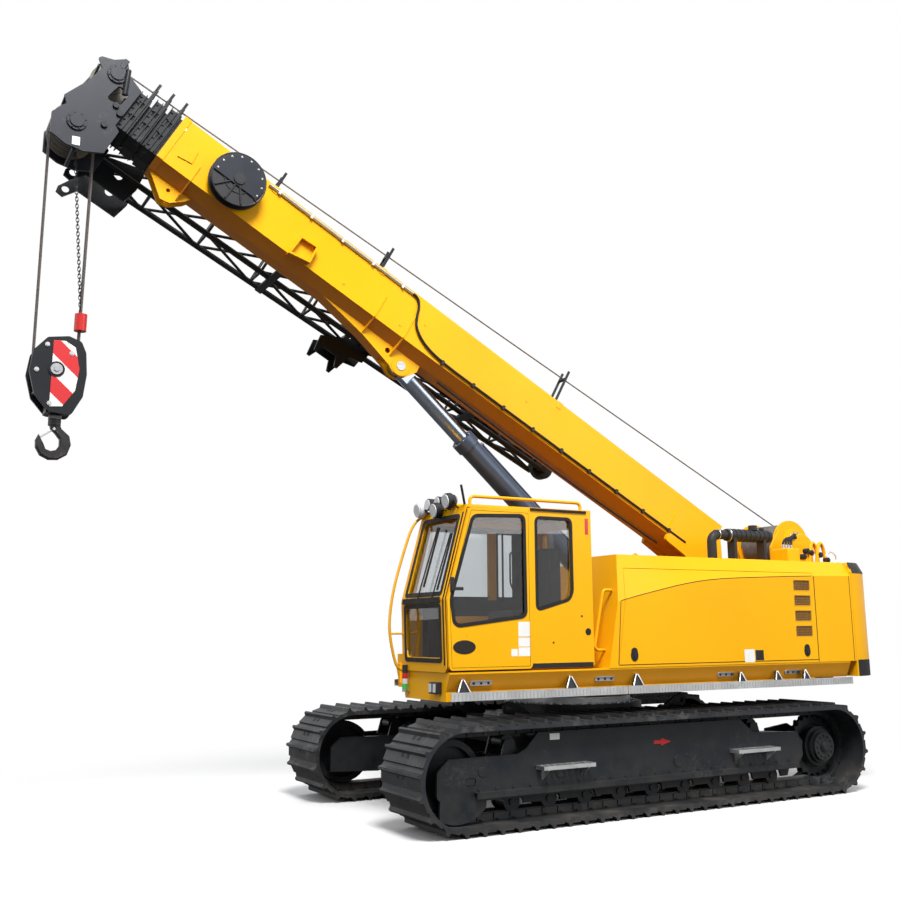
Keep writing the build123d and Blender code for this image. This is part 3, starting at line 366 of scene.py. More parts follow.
# ---------------------------------------------------------------- places
def at(x, y, z):
    """A point given in millimetres."""
    return Vector((x * MM, y * MM, z * MM))


def spot(point):
    """A point in metres, from a tuple in millimetres or a vector in metres."""
    return point if isinstance(point, Vector) else at(*point)


def boom(s, t, y=0.0):
    """A point along and across the boom from its pivot."""
    return at(PIVOT[0] + s * cos(BOOM_ANGLE) - t * sin(BOOM_ANGLE), y,
              PIVOT[1] + s * sin(BOOM_ANGLE) + t * cos(BOOM_ANGLE))


def fan(first, last, steps):
    """Evenly spaced angles from one number of degrees to another."""
    return [radians(first + (last - first) * n / steps) for n in range(steps + 1)]


def full_turn(count):
    """Evenly spaced angles all round."""
    return fan(0, 360, count)[:-1]


def circle(x, z, radius, count, y=0.0, place=at):
    """Points of a circle that faces along Y."""
    return [place(x + radius * cos(a), y, z + radius * sin(a)) for a in full_turn(count)]


def rectangle(x0, x1, z0, z1):
    return [(x0, z0), (x1, z0), (x1, z1), (x0, z1)]


def on_boom(s, y, t):
    return boom(s, t, y)


def rounded(points, radius, steps=6):
    """An outline with each corner rounded, as a list of flat points."""
    done = []
    for n, point in enumerate(points):
        before, here, after = Vector(points[n - 1]), Vector(point), Vector(points[(n + 1) % len(points)])
        a, b = before - here, after - here
        reach = min(radius, a.length * 0.45, b.length * 0.45)
        start, end = here + a.normalized() * reach, here + b.normalized() * reach
        for u in (k / steps for k in range(steps + 1)):
            done.append((1 - u) ** 2 * start + 2 * u * (1 - u) * here + u * u * end)
    return done


def shrunk(outline, by):
    """An outline moved inwards by an amount."""
    count = len(outline)
    middle = sum(outline, Vector((0, 0))) / count
    moved = []
    for n in range(count):
        way = (outline[(n + 1) % count] - outline[n - 1]).normalized()
        normal = Vector((-way.y, way.x))
        if normal.dot(middle - outline[n]) < 0:
            normal = -normal
        moved.append(outline[n] + normal * by)
    return moved


# ---------------------------------------------------------------- forms and pieces
def finish_piece(name, mesh, body, finish, bevel=0.0, smooth=35.0):
    """Turn a mesh into a finished piece that rides on a body."""
    mesh.materials.clear()
    mesh.materials.append(FINISH[finish])
    mesh.polygons.foreach_set("use_smooth", [True] * len(mesh.polygons))
    mesh.set_sharp_from_angle(angle=radians(smooth))
    piece = bpy.data.objects.new(name, mesh)
    bpy.context.scene.collection.objects.link(piece)
    if bevel:
        edge = piece.modifiers.new("softened_edges", "BEVEL")
        edge.width, edge.segments, edge.limit_method = bevel * MM, 2, "ANGLE"
        edge.angle_limit = radians(40)
    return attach(piece, body) if body else piece


class Shape:
    """Forms gathered into one mesh. Sizes are in millimetres; points as for spot()."""

    def __init__(self):
        self.bm = bmesh.new()

    def prism(self, outline, depth):
        """A closed prism from an outline, pushed by a depth along Y or by a tuple."""
        push = at(*depth) if isinstance(depth, tuple) else at(0, depth, 0)
        near = [self.bm.verts.new(spot(p)) for p in outline]
        far = [self.bm.verts.new(v.co + push) for v in near]
        self.bm.faces.new(near)
        self.bm.faces.new(far[::-1])
        for n in range(len(near)):
            self.bm.faces.new((near[n], far[n], far[(n + 1) % len(near)], near[(n + 1) % len(near)]))
        return self

    def plate(self, outline, y, depth):
        """A prism from an outline of (x, z) points at one y."""
        return self.prism([at(x, y, z) for x, z in outline], depth)

    def box(self, x0, x1, y0, y1, z0, z1):
        """A block between limits along the axes."""
        return self.plate(rectangle(x0, x1, z0, z1), y0, y1 - y0)

    def boom_box(self, s0, s1, t0, t1, y0, y1):
        """A block between limits along the boom, across it and along Y."""
        return self.prism([boom(s, t, y0) for s, t in rectangle(s0, s1, t0, t1)], y1 - y0)

    def disc(self, centre, radius, length, sides=32, axis=Y_WAY, radius_2=None):
        """A cylinder or cone about its middle."""
        turn = Vector(axis).to_track_quat("Z", "Y").to_matrix().to_4x4()
        bmesh.ops.create_cone(
            self.bm, cap_ends=True, segments=sides, radius1=radius * MM,
            radius2=(radius if radius_2 is None else radius_2) * MM, depth=length * MM,
            matrix=Matrix.Translation(spot(centre)) @ turn,
        )
        return self

    def ring(self, centre, radius, thick, sides=40, tube=8, axis=Y_WAY):
        """A torus about a point."""
        middle, turn = spot(centre), Vector(axis).to_track_quat("Z", "Y").to_matrix()
        rows = []
        for a in full_turn(sides):
            rim = ((radius + thick * cos(b), thick * sin(b)) for b in full_turn(tube))
            rows.append([self.bm.verts.new(middle + turn @ Vector((r * cos(a), r * sin(a), up)) * MM) for r, up in rim])
        for i in range(sides):
            for k in range(tube):
                j, m = (i + 1) % sides, (k + 1) % tube
                self.bm.faces.new((rows[i][k], rows[j][k], rows[j][m], rows[i][m]))
        return self

    def band(self, outline, inner, y0, y1, place=at):
        """A flat ring between two outlines of the same count, y0 to y1 thick."""
        rows = [[self.bm.verts.new(place(p[0], y, p[1])) for p in line] for line, y in
                ((outline, y0), (outline, y1), (inner, y1), (inner, y0))]
        for k, low in enumerate(rows):
            high = rows[(k + 1) % 4]
            for n in range(len(low)):
                m = (n + 1) % len(low)
                self.bm.faces.new((low[n], low[m], high[m], high[n]))
        return self

    def mesh(self, name):
        bmesh.ops.recalc_face_normals(self.bm, faces=self.bm.faces)
        mesh = bpy.data.meshes.new(name)
        self.bm.to_mesh(mesh)
        self.bm.free()
        return mesh

    def piece(self, name, body, finish, bevel=0.0, smooth=35.0):
        bmesh.ops.remove_doubles(self.bm, verts=self.bm.verts, dist=1e-6)
        return finish_piece(name, self.mesh(name), body, finish, bevel, smooth)


def pieces(body, *rows):
    """Pieces of blocks and discs: name, finish, bevel, then a box's six limits, or a disc's centre, radius and so on."""
    for name, finish, bevel, *forms in rows:
        shape = Shape()
        for form in forms:
            add = shape.disc if isinstance(form[0], (tuple, Vector)) else shape.box
            add(*form)
        shape.piece(name, body, finish, bevel)


def bent_tube(name, points, radius, body, finish, smooth=True, sides=3):
    """A tube along a route of points, as a NURBS line with a round section, made a mesh."""
    curve = bpy.data.curves.new(name, "CURVE")
    curve.dimensions, curve.bevel_depth, curve.bevel_resolution = "3D", radius, sides
    curve.use_fill_caps, curve.resolution_u = True, 6
    line = curve.splines.new("NURBS" if smooth else "POLY")
    line.points.add(len(points) - 1)
    for knot, point in zip(line.points, points):
        knot.co = (*spot(point), 1)
    if smooth:
        line.order_u, line.use_endpoint_u = 3, True
    holder = bpy.data.objects.new(name + "_line", curve)
    bpy.context.scene.collection.objects.link(holder)
    mesh = bpy.data.meshes.new_from_object(holder.evaluated_get(bpy.context.evaluated_depsgraph_get()))
    bpy.data.objects.remove(holder)
    return finish_piece(name, mesh, body, finish, smooth=50)


def rod(name, points, radius, body, finish, sides=3):
    """A tube with straight runs between its points."""
    return bent_tube(name, points, radius, body, finish, False, sides)


def straight_rope(name, start, end, radius, body, rows=2, sides=10):
    """A taut rope with a map that runs round and along it, in as many rows as asked."""
    run = end - start
    turn = run.to_track_quat("Z", "Y").to_matrix()
    shape = Shape()
    bm = shape.bm
    layer = bm.loops.layers.uv.new("UVMap")
    rings = []
    for i in range(rows):
        middle = start + run * (i / (rows - 1))
        rings.append([bm.verts.new(middle + turn @ Vector((cos(a), sin(a), 0)) * radius)
                      for a in full_turn(sides)])
    for i in range(rows - 1):
        for k in range(sides):
            m = (k + 1) % sides
            face = bm.faces.new((rings[i][k], rings[i][m], rings[i + 1][m], rings[i + 1][k]))
            for corner, (a, b) in zip(face.loops, ((k, i), (k + 1, i), (k + 1, i + 1), (k, i + 1))):
                corner[layer].uv = (a / sides, b / (rows - 1) * run.length / radius / 6)
    bm.faces.new(rings[0][::-1])
    bm.faces.new(rings[-1])
    return shape.piece(name, body, "rope", smooth=60)


def repeat_tree():
    """Sets a part at even steps along a path, with its X along the path and its Y along a side direction."""
    tree = bpy.data.node_groups.new("repeat_along_path", "GeometryNodeTree")
    for name, kind in (("Path", "Geometry"), ("Part", "Object"), ("Count", "Int"), ("Side", "Vector"),
                       ("Finish", "Material")):
        tree.interface.new_socket(name=name, in_out="INPUT", socket_type="NodeSocket" + kind)
    tree.interface.new_socket(name="Mesh", in_out="OUTPUT", socket_type="NodeSocketGeometry")
    given = tree.nodes.new("NodeGroupInput").outputs
    curve = feed(tree, "GeometryNodeMeshToCurve", {0: given["Path"]})
    points = feed(tree, "GeometryNodeCurveToPoints", {"Curve": curve, "Count": given["Count"]}, mode="COUNT").node
    part = feed(tree, "GeometryNodeObjectInfo", {"Object": given["Part"], "As Instance": True}, "Geometry")
    side = feed(tree, "FunctionNodeAlignRotationToVector", {"Vector": given["Side"]}, axis="Y")
    turn = feed(tree, "FunctionNodeAlignRotationToVector", {"Rotation": side, "Vector": points.outputs["Tangent"]},
                axis="X", pivot_axis="Y")
    row = feed(tree, "GeometryNodeInstanceOnPoints", {"Points": points.outputs["Points"], "Instance": part,
                                                      "Rotation": turn})
    real = feed(tree, "GeometryNodeRealizeInstances", {0: row})
    done = feed(tree, "GeometryNodeSetMaterial", {"Geometry": real, "Material": given["Finish"]})
    tree.links.new(done, tree.nodes.new("NodeGroupOutput").inputs[0])
    return tree


REPEAT = repeat_tree()


def repeat(name, path, closed, part, count, side, body, finish):
    """Copies of a shape along a path, made one plain mesh."""
    line = bpy.data.meshes.new(name)
    edges = [(n, n + 1) for n in range(len(path) - 1)] + ([(len(path) - 1, 0)] if closed else [])
    line.from_pydata([tuple(spot(p)) for p in path], edges, [])
    holder = bpy.data.objects.new(name + "_path", line)
    unit = bpy.data.objects.new(name + "_unit", part.mesh(name + "_unit"))
    for made in (holder, unit):
        bpy.context.scene.collection.objects.link(made)
    row = holder.modifiers.new("repeat", "NODES")
    row.node_group = REPEAT
    wanted = {"Part": unit, "Count": count, "Side": side, "Finish": FINISH[finish]}
    for item in REPEAT.interface.items_tree:
        if item.in_out == "INPUT" and item.name in wanted:
            row[item.identifier] = wanted[item.name]
    bpy.context.view_layer.update()
    mesh = bpy.data.meshes.new_from_object(holder.evaluated_get(bpy.context.evaluated_depsgraph_get()))
    holder.modifiers.clear()
    for spent in (holder, unit):
        bpy.data.objects.remove(spent)
    return finish_piece(name, mesh, body, finish)


def hexagon(size, tall):
    """A bolt's head on a washer, standing on Y."""
    return Shape().disc((0, tall / 2, 0), size, tall, 6).disc((0, tall * 0.12, 0), size * 1.5, tall * 0.24, 14)


class Making:
    """What every operator of this panel shares."""
    bl_options = {"REGISTER"}

    def execute(self, context):
        self.make(context.scene.crane_sizes)
        return {"FINISHED"}


# ---------------------------------------------------------------- operators
class CRANE_OT_finishes(Making, bpy.types.Operator):
    """Give every solid its procedural finish"""
    bl_idname, bl_label = "crane.finishes", "Finishes"

    def make(self, sizes):
        FINISH.update(make_finishes())
        for finish, names in NODE_FINISH.items():
            for name in names.split():
                materials = NODES[name].data.materials
                materials.clear()
                materials.append(FINISH[finish])


class CRANE_OT_ropes(Making, bpy.types.Operator):
    """Hoist rope from winch to hook block, its turns on the drum, and the limit chain"""
    bl_idname, bl_label = "crane.ropes", "Ropes and chain"

    def make(self, sizes):
        r, wide = sizes.rope, SHEAVE_GROOVE * MM
        # Tangent over the top sheave and the winch.
        drum_s = (WINCH[0] - PIVOT[0]) * cos(BOOM_ANGLE) + (WINCH[1] - PIVOT[1]) * sin(BOOM_ANGLE)
        drum_t = -(WINCH[0] - PIVOT[0]) * sin(BOOM_ANGLE) + (WINCH[1] - PIVOT[1]) * cos(BOOM_ANGLE)
        top = (TOP_PIN[0], TOP_PIN[1] + SHEAVE_GROOVE)
        slope = (drum_t + WINCH_WRAP - top[1]) / (drum_s - top[0])
        a, b, c, d, e, f = (boom(s, top[1] + (s - top[0]) * slope) for s in (drum_s, 2905, 6842, 8015, 8165, top[0]))
        # Only the run along the boom base rides on a body; the rear run and the runs over the sections stand free, each
        # straight and taut between its ends.
        tail = straight_rope("winch_rope_rear", a, b, r, None)
        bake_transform(tail)
        straight_rope("winch_rope_boom", b, c, r, "boom_base")
        for name, start, end, bodies in (
            ("winch_rope_section_1", c, d, ("boom_base", "boom_section_1")),
            ("winch_rope_section_2", d, e, ("boom_section_1", "boom_section_2")),
            ("winch_rope_section_3", e, f, ("boom_section_2", "boom_tip")),
        ):
            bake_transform(straight_rope(name, start, end, r, None, 12))

        # Over the top sheave and down to the lower ones.
        route = [boom(top[0] + SHEAVE_GROOVE * sin(turn), TOP_PIN[1] + SHEAVE_GROOVE * cos(turn))
                 for turn in fan(0, 100, 10)]
        rod("rope_over_top_sheave", route, r, "boom_tip", "rope")
        straight_rope("rope_down_the_head", route[-1], boom(HEAD_PIN[0] + SHEAVE_GROOVE, HEAD_PIN[1] + 20, 45),
                      r, "boom_tip")

        # Falls: tangent to the head sheaves, down to the block's own sheaves.
        pin = boom(*HEAD_PIN)
        for name, front, y, low_y in (("front_left", 1, 45, 46.8), ("rear_left", -1, 45, 46.8),
                                      ("rear_right", -1, -45, -46.8), ("front_right", 1, -45, -47)):
            start = Vector((pin.x + front * wide, y * MM, pin.z))
            end = Vector((pin.x + front * 0.187, low_y * MM, BLOCK_Z * MM + 0.05))
            fall = straight_rope(f"fall_{name}", start, end, r, None, 14)
            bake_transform(fall)
        for side, out in SIDES:
            arc = [Vector((pin.x + wide * cos(turn), 45 * out * MM, pin.z + wide * sin(turn)))
                   for turn in fan(0, 180, 14)]
            rod(f"rope_over_head_{side}", arc, r, "hanging_falls", "rope")

        # Turns laid side by side on the winch drum.
        pitch, turns, steps = 21.0, 27, 20
        wrap = WINCH_WRAP - 2
        spiral = [(WINCH[0] + wrap * cos(angle), -285 + pitch * n / steps, WINCH[1] + wrap * sin(angle))
                  for n, angle in enumerate(fan(0, 360 * turns, turns * steps))]
        rod("rope_on_drum", spiral, 0.0102, "winch_drum", "rope", sides=1)

        # Limit switch chain down to its weight.
        link_step = 0.066
        high, low = pin + Vector((-0.03, 0.02, -0.13)), Vector((pin.x - 0.187, 0.03, 4.635))
        count = int((high - low).length / link_step)
        step = (low - high) / count
        for name, turned, side in (("odd", 0, Y_WAY), ("even", 1, X_WAY)):
            link = Shape().ring((0, 0, 0), 13, 3.6, 12, 5)
            bmesh.ops.scale(link.bm, vec=(1.9, 1, 1), verts=link.bm.verts)
            repeat(f"limit_chain_{name}", [high + step * turned / 2, low - step * (1 - turned) / 2], False, link,
                   count, side, "hanging_falls", "hook")


class CRANE_OT_hook(Making, bpy.types.Operator):
    """Hook block's striped side, bolts and the hook's latch and nut"""
    bl_idname, bl_label = "crane.hook", "Hook block"

    def make(self, sizes):
        pin_x = boom(*HEAD_PIN).x / MM
        hook_x = pin_x - 35
        plate = ((40, 4345), (-60, 4350), (-150, 4300), (-195, 4100), (-170, 3900), (-70, 3745), (40, 3735))
        Shape().plate([(pin_x + dx, z) for dx, z in plate], 131, 5).piece("block_stripes", "hook_block", "stripes", 1.5)
        pieces("hook_block", ("block_hub", "steel", 1.5, ((pin_x, 145, BLOCK_Z), 52, 16, 28),
                              ((pin_x, 157, BLOCK_Z), 26, 14, 6)))
        for n, (dx, z) in enumerate(((-120, 4240), (90, 4300), (165, 4060), (40, 3765))):
            bolt = hexagon(14, 12)
            bmesh.ops.translate(bolt.bm, vec=at(pin_x + dx, 136, z), verts=bolt.bm.verts)
            bolt.piece(f"block_bolt_{n}", "hook_block", "silver")
        latch = [(hook_x + dx, z) for dx, z in ((-8, 3556), (14, 3556), (126, 3478), (118, 3462))]
        Shape().plate(latch, -9, 18).disc((hook_x + 4, 0, 3553), 13, 96, 18).piece("hook_latch", "hook", "silver", 2)
        pieces("hook", ("hook_nut", "engine", 3, ((hook_x, 0, 3662), 62, 34, 6, UPRIGHT)))


class CRANE_OT_head(Making, bpy.types.Operator):
    """Boom head's keepers, washers, strips and brackets, and the sections' fittings"""
    bl_idname, bl_label = "crane.head", "Boom head"

    def make(self, sizes):
        for side, out in SIDES:
            y = 245 * out
            for n, (s, t) in enumerate((HEAD_PIN, TOP_PIN)):
                pieces("boom_tip", (f"head_boss_{side}_{n}", "head", 2, (boom(s, t, y + out * 8), 92, 16, 36),
                                    (boom(s, t, y + out * 22), 66, 14, 28)))
                repeat(f"head_boss_bolts_{side}_{n}", circle(s, t, 78, 24, y + out * 15, on_boom), True,
                       hexagon(8, 7), 8, (0, out, 0), "boom_tip", "black")
            Shape().boom_box(8644, 8692, 640, 770, y, y + out * 14).piece(f"head_strap_{side}_0", "boom_tip", "head", 3)
            Shape().plate(rectangle(5600, 5670, 6196, 6280), y, out * 6).piece(
                f"head_tag_{side}", "boom_tip", "label", 2)
        # Guards that keep the rope in the grooves.
        for n, (s, t) in enumerate(((8840, 560), (8700, 745), (8885, 62))):
            pieces("boom_tip", (f"head_keeper_{n}", "head", 0, (boom(s, t), 13, 432, 14)))
        bent_tube("head_arm", [(5208, 262, 7064), (5222, 266, 6930), (5233, 262, 6800)], 0.026, "boom_tip", "black")
        pieces("boom_tip", ("head_hose_ends", "black", 2, *(
            (boom(s, t, 256), 30, 22, 20) for s, t in ((8500, 300), (8430, 250), (8478, 60)))))
        for name, s, half, top, body in (
            ("collar_1", 8035, 208, 662, "boom_section_1"), ("collar_2", 8185, 200, 636, "boom_section_2"),
            ("collar_3", 8340, 192, 608, "boom_tip"),
        ):
            for side, out in SIDES:
                repeat(f"{name}_bolts_{side}", [boom(s + 38, 200, out * half), boom(s + 38, top - 30, out * half)],
                       False, hexagon(11, 12), 6, (0, out, 0), body, "black")
            pads, flanges, opening_shades = Shape(), Shape(), Shape()
            for y in (-120, 0, 120):
                pads.boom_box(s - 40, s + 40, top, top + 14, y - 26, y + 26)
            pads.piece(f"{name}_pads", body, "steel", 2)
            inner = [(half, top), (half, 155), (95, 66), (-95, 66), (-half, 155), (-half, top)]
            grown = [(y * (1 + 16 / abs(y)) if abs(y) > 100 else y, t + (14 if t > 400 else 2)) for y, t in inner]
            for s0 in (s - 46, s - 4, s + 52):
                flanges.band(grown, inner, s0, s0 + 9, lambda y, along, t: boom(along, t, y))
            flanges.piece(f"{name}_flanges", body, "black", 1)
            # Thin black blocks inside the collars' side openings, as painted shade for their dark insides.
            for out in (1, -1):
                for level in (330, 500):
                    opening_shades.boom_box(s - 27, s + 27, level - 29, level + 29, out * (half - 14), out * (half - 10))
            opening_shades.piece(f"{name}_pockets", body, "rubber")
            rope_t = TOP_PIN[1] + SHEAVE_GROOVE + (TOP_PIN[0] - s + 20) * ROPE_SLOPE
            hoop = ((-90, 66), (60, 66), (92, 30), (92, -30), (60, -66), (-90, -66))
            rod(f"{name}_hoop", [boom(s - 20, rope_t + dt, y) for dt, y in hoop], 0.009, body, "black")


class CRANE_OT_boom(Making, bpy.types.Operator):
    """Boom base: conduit, hoses, blank patches, reel's cover and cable, welds"""
    bl_idname, bl_label = "crane.boom", "Boom fittings"

    def make(self, sizes):
        wall = 228
        rod("side_conduit", [boom(s, 640, wall) for s in (6930, 6200, 5600, 5060)], 0.017, "boom_base", "silver")
        route = [(5060, 640), (4990, 640), (4930, 560), (4900, 440), (4850, 330), (4700, 232), (4450, 178),
                 (3800, 176), (3000, 178), (2000, 178), (1000, 180), (620, 182)]
        bent_tube("side_hose", [boom(s, t, wall + 4) for s, t in route], sizes.hose, "boom_base", "rubber")
        for name, start, end, y, count, finish in (
            ("hose_clips", (4400, 178), (900, 180), wall - 3, 9, "plastic"),
            ("conduit_clips", (6800, 640), (5200, 640), wall - 4, 5, "silver"),
        ):
            repeat(name, [boom(*start, y), boom(*end, y)], False, Shape().box(-14, 14, -8, 22, -26, 26), count, Y_WAY,
                   "boom_base", finish)
        # Cable below the boom, from its middle towards the heel.
        bent_tube("lower_cable", [boom(s, t, 90) for s, t in ((4300, 20), (3300, -4), (2200, -10), (900, 20))],
                  0.011, "boom_base", "rubber")

        # Reel: rims, half cover, spokes, bolts and the cable wound on it.
        s, t = REEL
        rims, cable, spokes = Shape(), Shape(), Shape()
        for y, radius, thick, count, tube in ((366, 274, 9, 64, 8), (268, 274, 9, 64, 8), (374, 150, 6, 48, 6)):
            rims.ring(boom(s, t, y), radius, thick, count, tube)
        rims.piece("reel_rims", "cable_reel", "plastic")
        Shape().prism([boom(s + 250 * cos(a), t + 250 * sin(a), 376) for a in fan(-18, 198, 24)], 12).piece(
            "reel_half_cover", "cable_reel", "head", 3)
        hub = boom(s, t, 378)
        for a in fan(200, 344, 4):
            rim = boom(s + 265 * cos(a), t + 265 * sin(a), 378)
            spokes.disc((hub + rim) / 2, 9, 262, 10, rim - hub)
        spokes.disc(boom(s, t, 396), 46, 12, 24).piece("reel_spokes", "cable_reel", "plastic")
        repeat("reel_bolts", [boom(s + 232 * cos(a), t + 232 * sin(a), 388) for a in fan(-10, 190, 20)], False,
               hexagon(7, 6), 9, Y_WAY, "cable_reel", "steel")
        for n in range(5):
            cable.ring(boom(s, t, 284 + 16 * n), 207, 9, 48, 6)
        cable.piece("reel_cable", "cable_reel", "rubber")

        # Blank patch and plugs, feet of the rope guides, and weld beads along the corners.
        pieces("boom_base", ("collar_dot", "label", 0, (boom(7890, 565, 216), 22, 5, 24)), *(
            (f"wall_plug_{n}", "orange", 1, (boom(*place, 217), 13, 8, 20))
            for n, place in enumerate(((5756, 246), (5010, 250), (4770, 433), (3300, 431)))))
        feet = Shape()
        for s in (2905, 5460, 6842):
            feet.boom_box(s - 45, s + 45, 672, 682, -110, 110)
            feet.boom_box(s - 30, s + 30, 600, 684, -220, -214).boom_box(s - 30, s + 30, 600, 684, 214, 220)
        feet.piece("guide_feet", "boom_base", "body", 2)
        for side, out in SIDES:
            rod(f"corner_weld_{side}", [boom(200, 143, out * 214), boom(7940, 143, out * 214)], 0.004, "boom_base",
                "body", 1)

        # Cylinder: end cap bolts, ports and hard pipe.
        foot = at(*CYLINDER_FOOT)
        axis = (boom(*CYLINDER_TOP) - foot).normalized()
        across = Vector(Y_WAY)
        up = axis.cross(across).normalized()
        up = up if up.z > 0 else -up
        cap = foot + axis * 3.42
        bolts = [cap + (across * cos(a) + up * sin(a)) * 0.112 for a in full_turn(36)]
        repeat("cylinder_cap_bolts", bolts, True, Shape().disc((0, 4, 0), 9, 14, 6), 12, tuple(axis), "lift_barrel",
               "steel")
        rod("cylinder_pipe", [foot + axis * d + up * 0.145 for d in (0.5, 1.6, 2.9, 3.2)], 0.013, "lift_barrel",
            "cylinder")
        pieces("lift_barrel", ("cylinder_ports", "cylinder", 2, *(
            (foot + axis * d + up * 0.13, 22, 50, 16, up) for d in (0.5, 3.2))))


class CRANE_OT_cab(Making, bpy.types.Operator):
    """Cab: rubber seals, handles, wipers, lamps, mirror, blank plates, roof strips"""
    bl_idname, bl_label = "crane.cab", "Cab"

    def make(self, sizes):
        wide = sizes.seal / MM
        door = rounded([(1511, 1887), (2240, 1800), (2288, 1830), (2322, 2045), (2085, 2816), (1516, 2840)], 60)
        quarter = rounded([(1362, 1943), (985, 2046), (941, 2120), (941, 2836), (1362, 2836)], 60)
        gap = [Vector(p) for p in ((1443, 1405), (2336, 1405), (2358, 2040), (2122, 2892), (1443, 2892))]
        Shape().band(shrunk(door, -16), shrunk(door, wide - 8), DOOR_Y - 4, DOOR_Y + 5).piece(
            "door_seal", "cab_door", "rubber", 1.5)
        Shape().band(shrunk(quarter, -14), shrunk(quarter, wide - 8), 1380, 1387.5).piece(
            "rear_window_seal", "upper", "rubber", 1.5)
        Shape().band(shrunk(gap, -9), gap, 1382, 1387).piece("door_gap", "upper", "gap")
        seam = ((1470, 1430), (2310, 1430), (2332, 2036), (2102, 2866), (1470, 2866), (1470, 1430))
        rod("door_inner_line", [(x, DOOR_Y + 0.5, z) for x, z in seam], 0.002, "cab_door", "gap", 1)
        oval = [(2182 + 118 * cos(a), 1611 + 62 * sin(a)) for a in full_turn(40)]
        Shape().plate(oval, DOOR_Y - 1, 5).piece("door_plate", "cab_door", "oval", 2)
        labels = Shape()
        for z0, z1, x0, x1 in ((1700, 1836, 1470, 1600), (1608, 1690, 1470, 1600), (1520, 1600, 1470, 1600),
                               (1520, 1586, 1612, 1680)):
            labels.plate(rectangle(x0, x1, z0, z1), DOOR_Y - 0.5, 1.6)
        labels.piece("door_labels", "cab_door", "label")
        pieces("cab_door", ("door_handle", "plastic", 6, (2296, 2330, 1416, 1446, 2110, 2240),
                            (2200, 2310, 1432, 1446, 2120, 2150)))
        # The sliding rail, strips, and the lining of the cab's far wall, roof and floor: a dark lining, made near black
        # so that it also paints the shade inside the cab.
        pieces(
            "upper",
            ("door_rail", "rubber", 1, (715, 1425, 1380, 1387.5, 1404, 1450)),
            ("roof_strip", "rubber", 3, (760, 1425, 1384, 1398, 2898, 2922)),
            ("rear_label", "red", 0, (735, 775, 1383.5, 1386, 2690, 2850)),
            ("front_waist_bar", "rubber", 4, (2374, 2392, 560, 1310, 2010, 2064)),
            ("cab_lining", "lining", 3, (900, 2080, 532, 540, 2735, 2880), (760, 2320, 532, 540, 1420, 2095),
             (740, 2100, 524, 1366, 2872, 2884), (740, 2320, 524, 1366, 1416, 1426),
             (900, 1110, 532, 540, 2080, 2740)),
            ("cab_far_pillar", "orange", 3, (1305, 1408, 530, 548, 2060, 2760)),
            ("cab_far_bars", "rubber", 2, (1281, 1299, 534, 546, 2060, 2760), (1216, 1234, 534, 546, 2060, 2760)),
            ("load_light_foot", "steel", 2, (2328, 2360, 570, 614, 1180, 1196)),
        )
        pieces("upper", ("side_knobs", "rubber", 1, ((766, 1384, 1740), 34, 7, 24),
                         ((1180, 1384, 1640), 10, 7, 14), ((840, 1384, 1890), 10, 7, 14)))
        screen = rounded([(1150, 2560), (1010, 2575), (1000, 2420), (1060, 2180), (1110, 2160), (1150, 2230)], 40)
        Shape().band(screen, shrunk(screen, 14), 548, 560).piece("cab_screen_frame", "upper", "rubber", 1)

        # Wipers, laid along the windscreen's lean.
        lean = Vector((-240, 884)).normalized()
        for n, (y, low, high) in enumerate(((900, 130, 720), (1190, 90, 640))):
            (ax, az), (bx, bz) = (Vector((2388 + lean.x * reach, 2040 + lean.y * reach)) for reach in (low, high))
            rod(f"wiper_arm_{n}", [(2394, y, 2060), (ax + 14, y + 10, az), (bx + 10, y + 60, bz)], 0.007, "upper",
                "rubber")
            rod(f"wiper_blade_{n}", [(ax - 2, y + 40, az), (bx - 2, y + 70, bz)], 0.010, "upper", "rubber")

        # Guard before the windscreen, bent from one tube.
        guard = [(2135, 2880), (2242, 2858), (2366, 2511), (2472, 2153), (2510, 1886), (2505, 1726), (2466, 1537),
                 (2420, 1400), (2352, 1384)]
        whole = bent_tube("front_guard_tube", [(x, 522, z) for x, z in guard], 0.014, "upper", "orange")
        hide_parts("front_guard")
        rod("front_guard_tie", [(2508, 522, 1735), (2362, 522, 1735)], 0.010, "upper", "orange")

        # Lamps: heads set forward of the roof's edge, lenses over it, boxes and load lights low on the corner.
        nod = (1, 0, -0.15)
        for n, (y, z, finish) in enumerate(((573, 2939, "clear"), (916, 2905, "plastic"), (1164, 2972, "plastic"))):
            pieces("upper", (f"lamp_head_{n}", finish, 8, ((2206, y, z), 76, 60, 32, nod),
                             ((2160, y, z + 7), 46, 44, 28, nod, 74)),
                   (f"lamp_face_{n}", "clear", 3, ((2240, y, z - 5), 66, 12, 32, nod)))
            rod(f"lamp_bracket_{n}", [(2196, y - 84, z), (2160, y - 88, 2900), (2110, y - 60, 2916),
                (2110, y + 60, 2916), (2160, y + 88, 2900), (2196, y + 84, z)], 0.008, "upper", "plastic", 1)
        bent_tube("mirror_stay", [(2120, 1330, 2915), (2175, 1392, 3010), (2200, 1400, 3100)], 0.012, "upper",
                  "plastic")
        for n, y in enumerate((700, 900, 1100)):
            pieces("upper", (f"lamp_lens_{n}", "clear", 2, ((2192, y, 2985), 52, 10, 28, X_WAY)),
                   (f"lamp_back_{n}", "plastic" if n == 1 else "grey", 2,
                    ((2106, y, 2985), 48, 24, 24, X_WAY, 30)))
        for n, y in enumerate((1150, 1230)):
            pieces("upper", (f"low_lamp_{n}", "plastic", 5, (2330, 2392, y - 32, y + 32, 1196, 1300)),
                   (f"low_lamp_lens_{n}", "clear", 2, (2390, 2396, y - 24, y + 24, 1210, 1286)))
        for n, (z0, z1, finish) in enumerate(((1190, 1212, "steel"), (1212, 1262, "green"), (1262, 1312, "clear"),
                                              (1312, 1362, "red"), (1362, 1440, "plastic"))):
            pieces("upper", (f"load_light_{n}", finish, 2,
                             ((2372, 592, (z0 + z1) / 2), 26, z1 - z0, 24, UPRIGHT)))

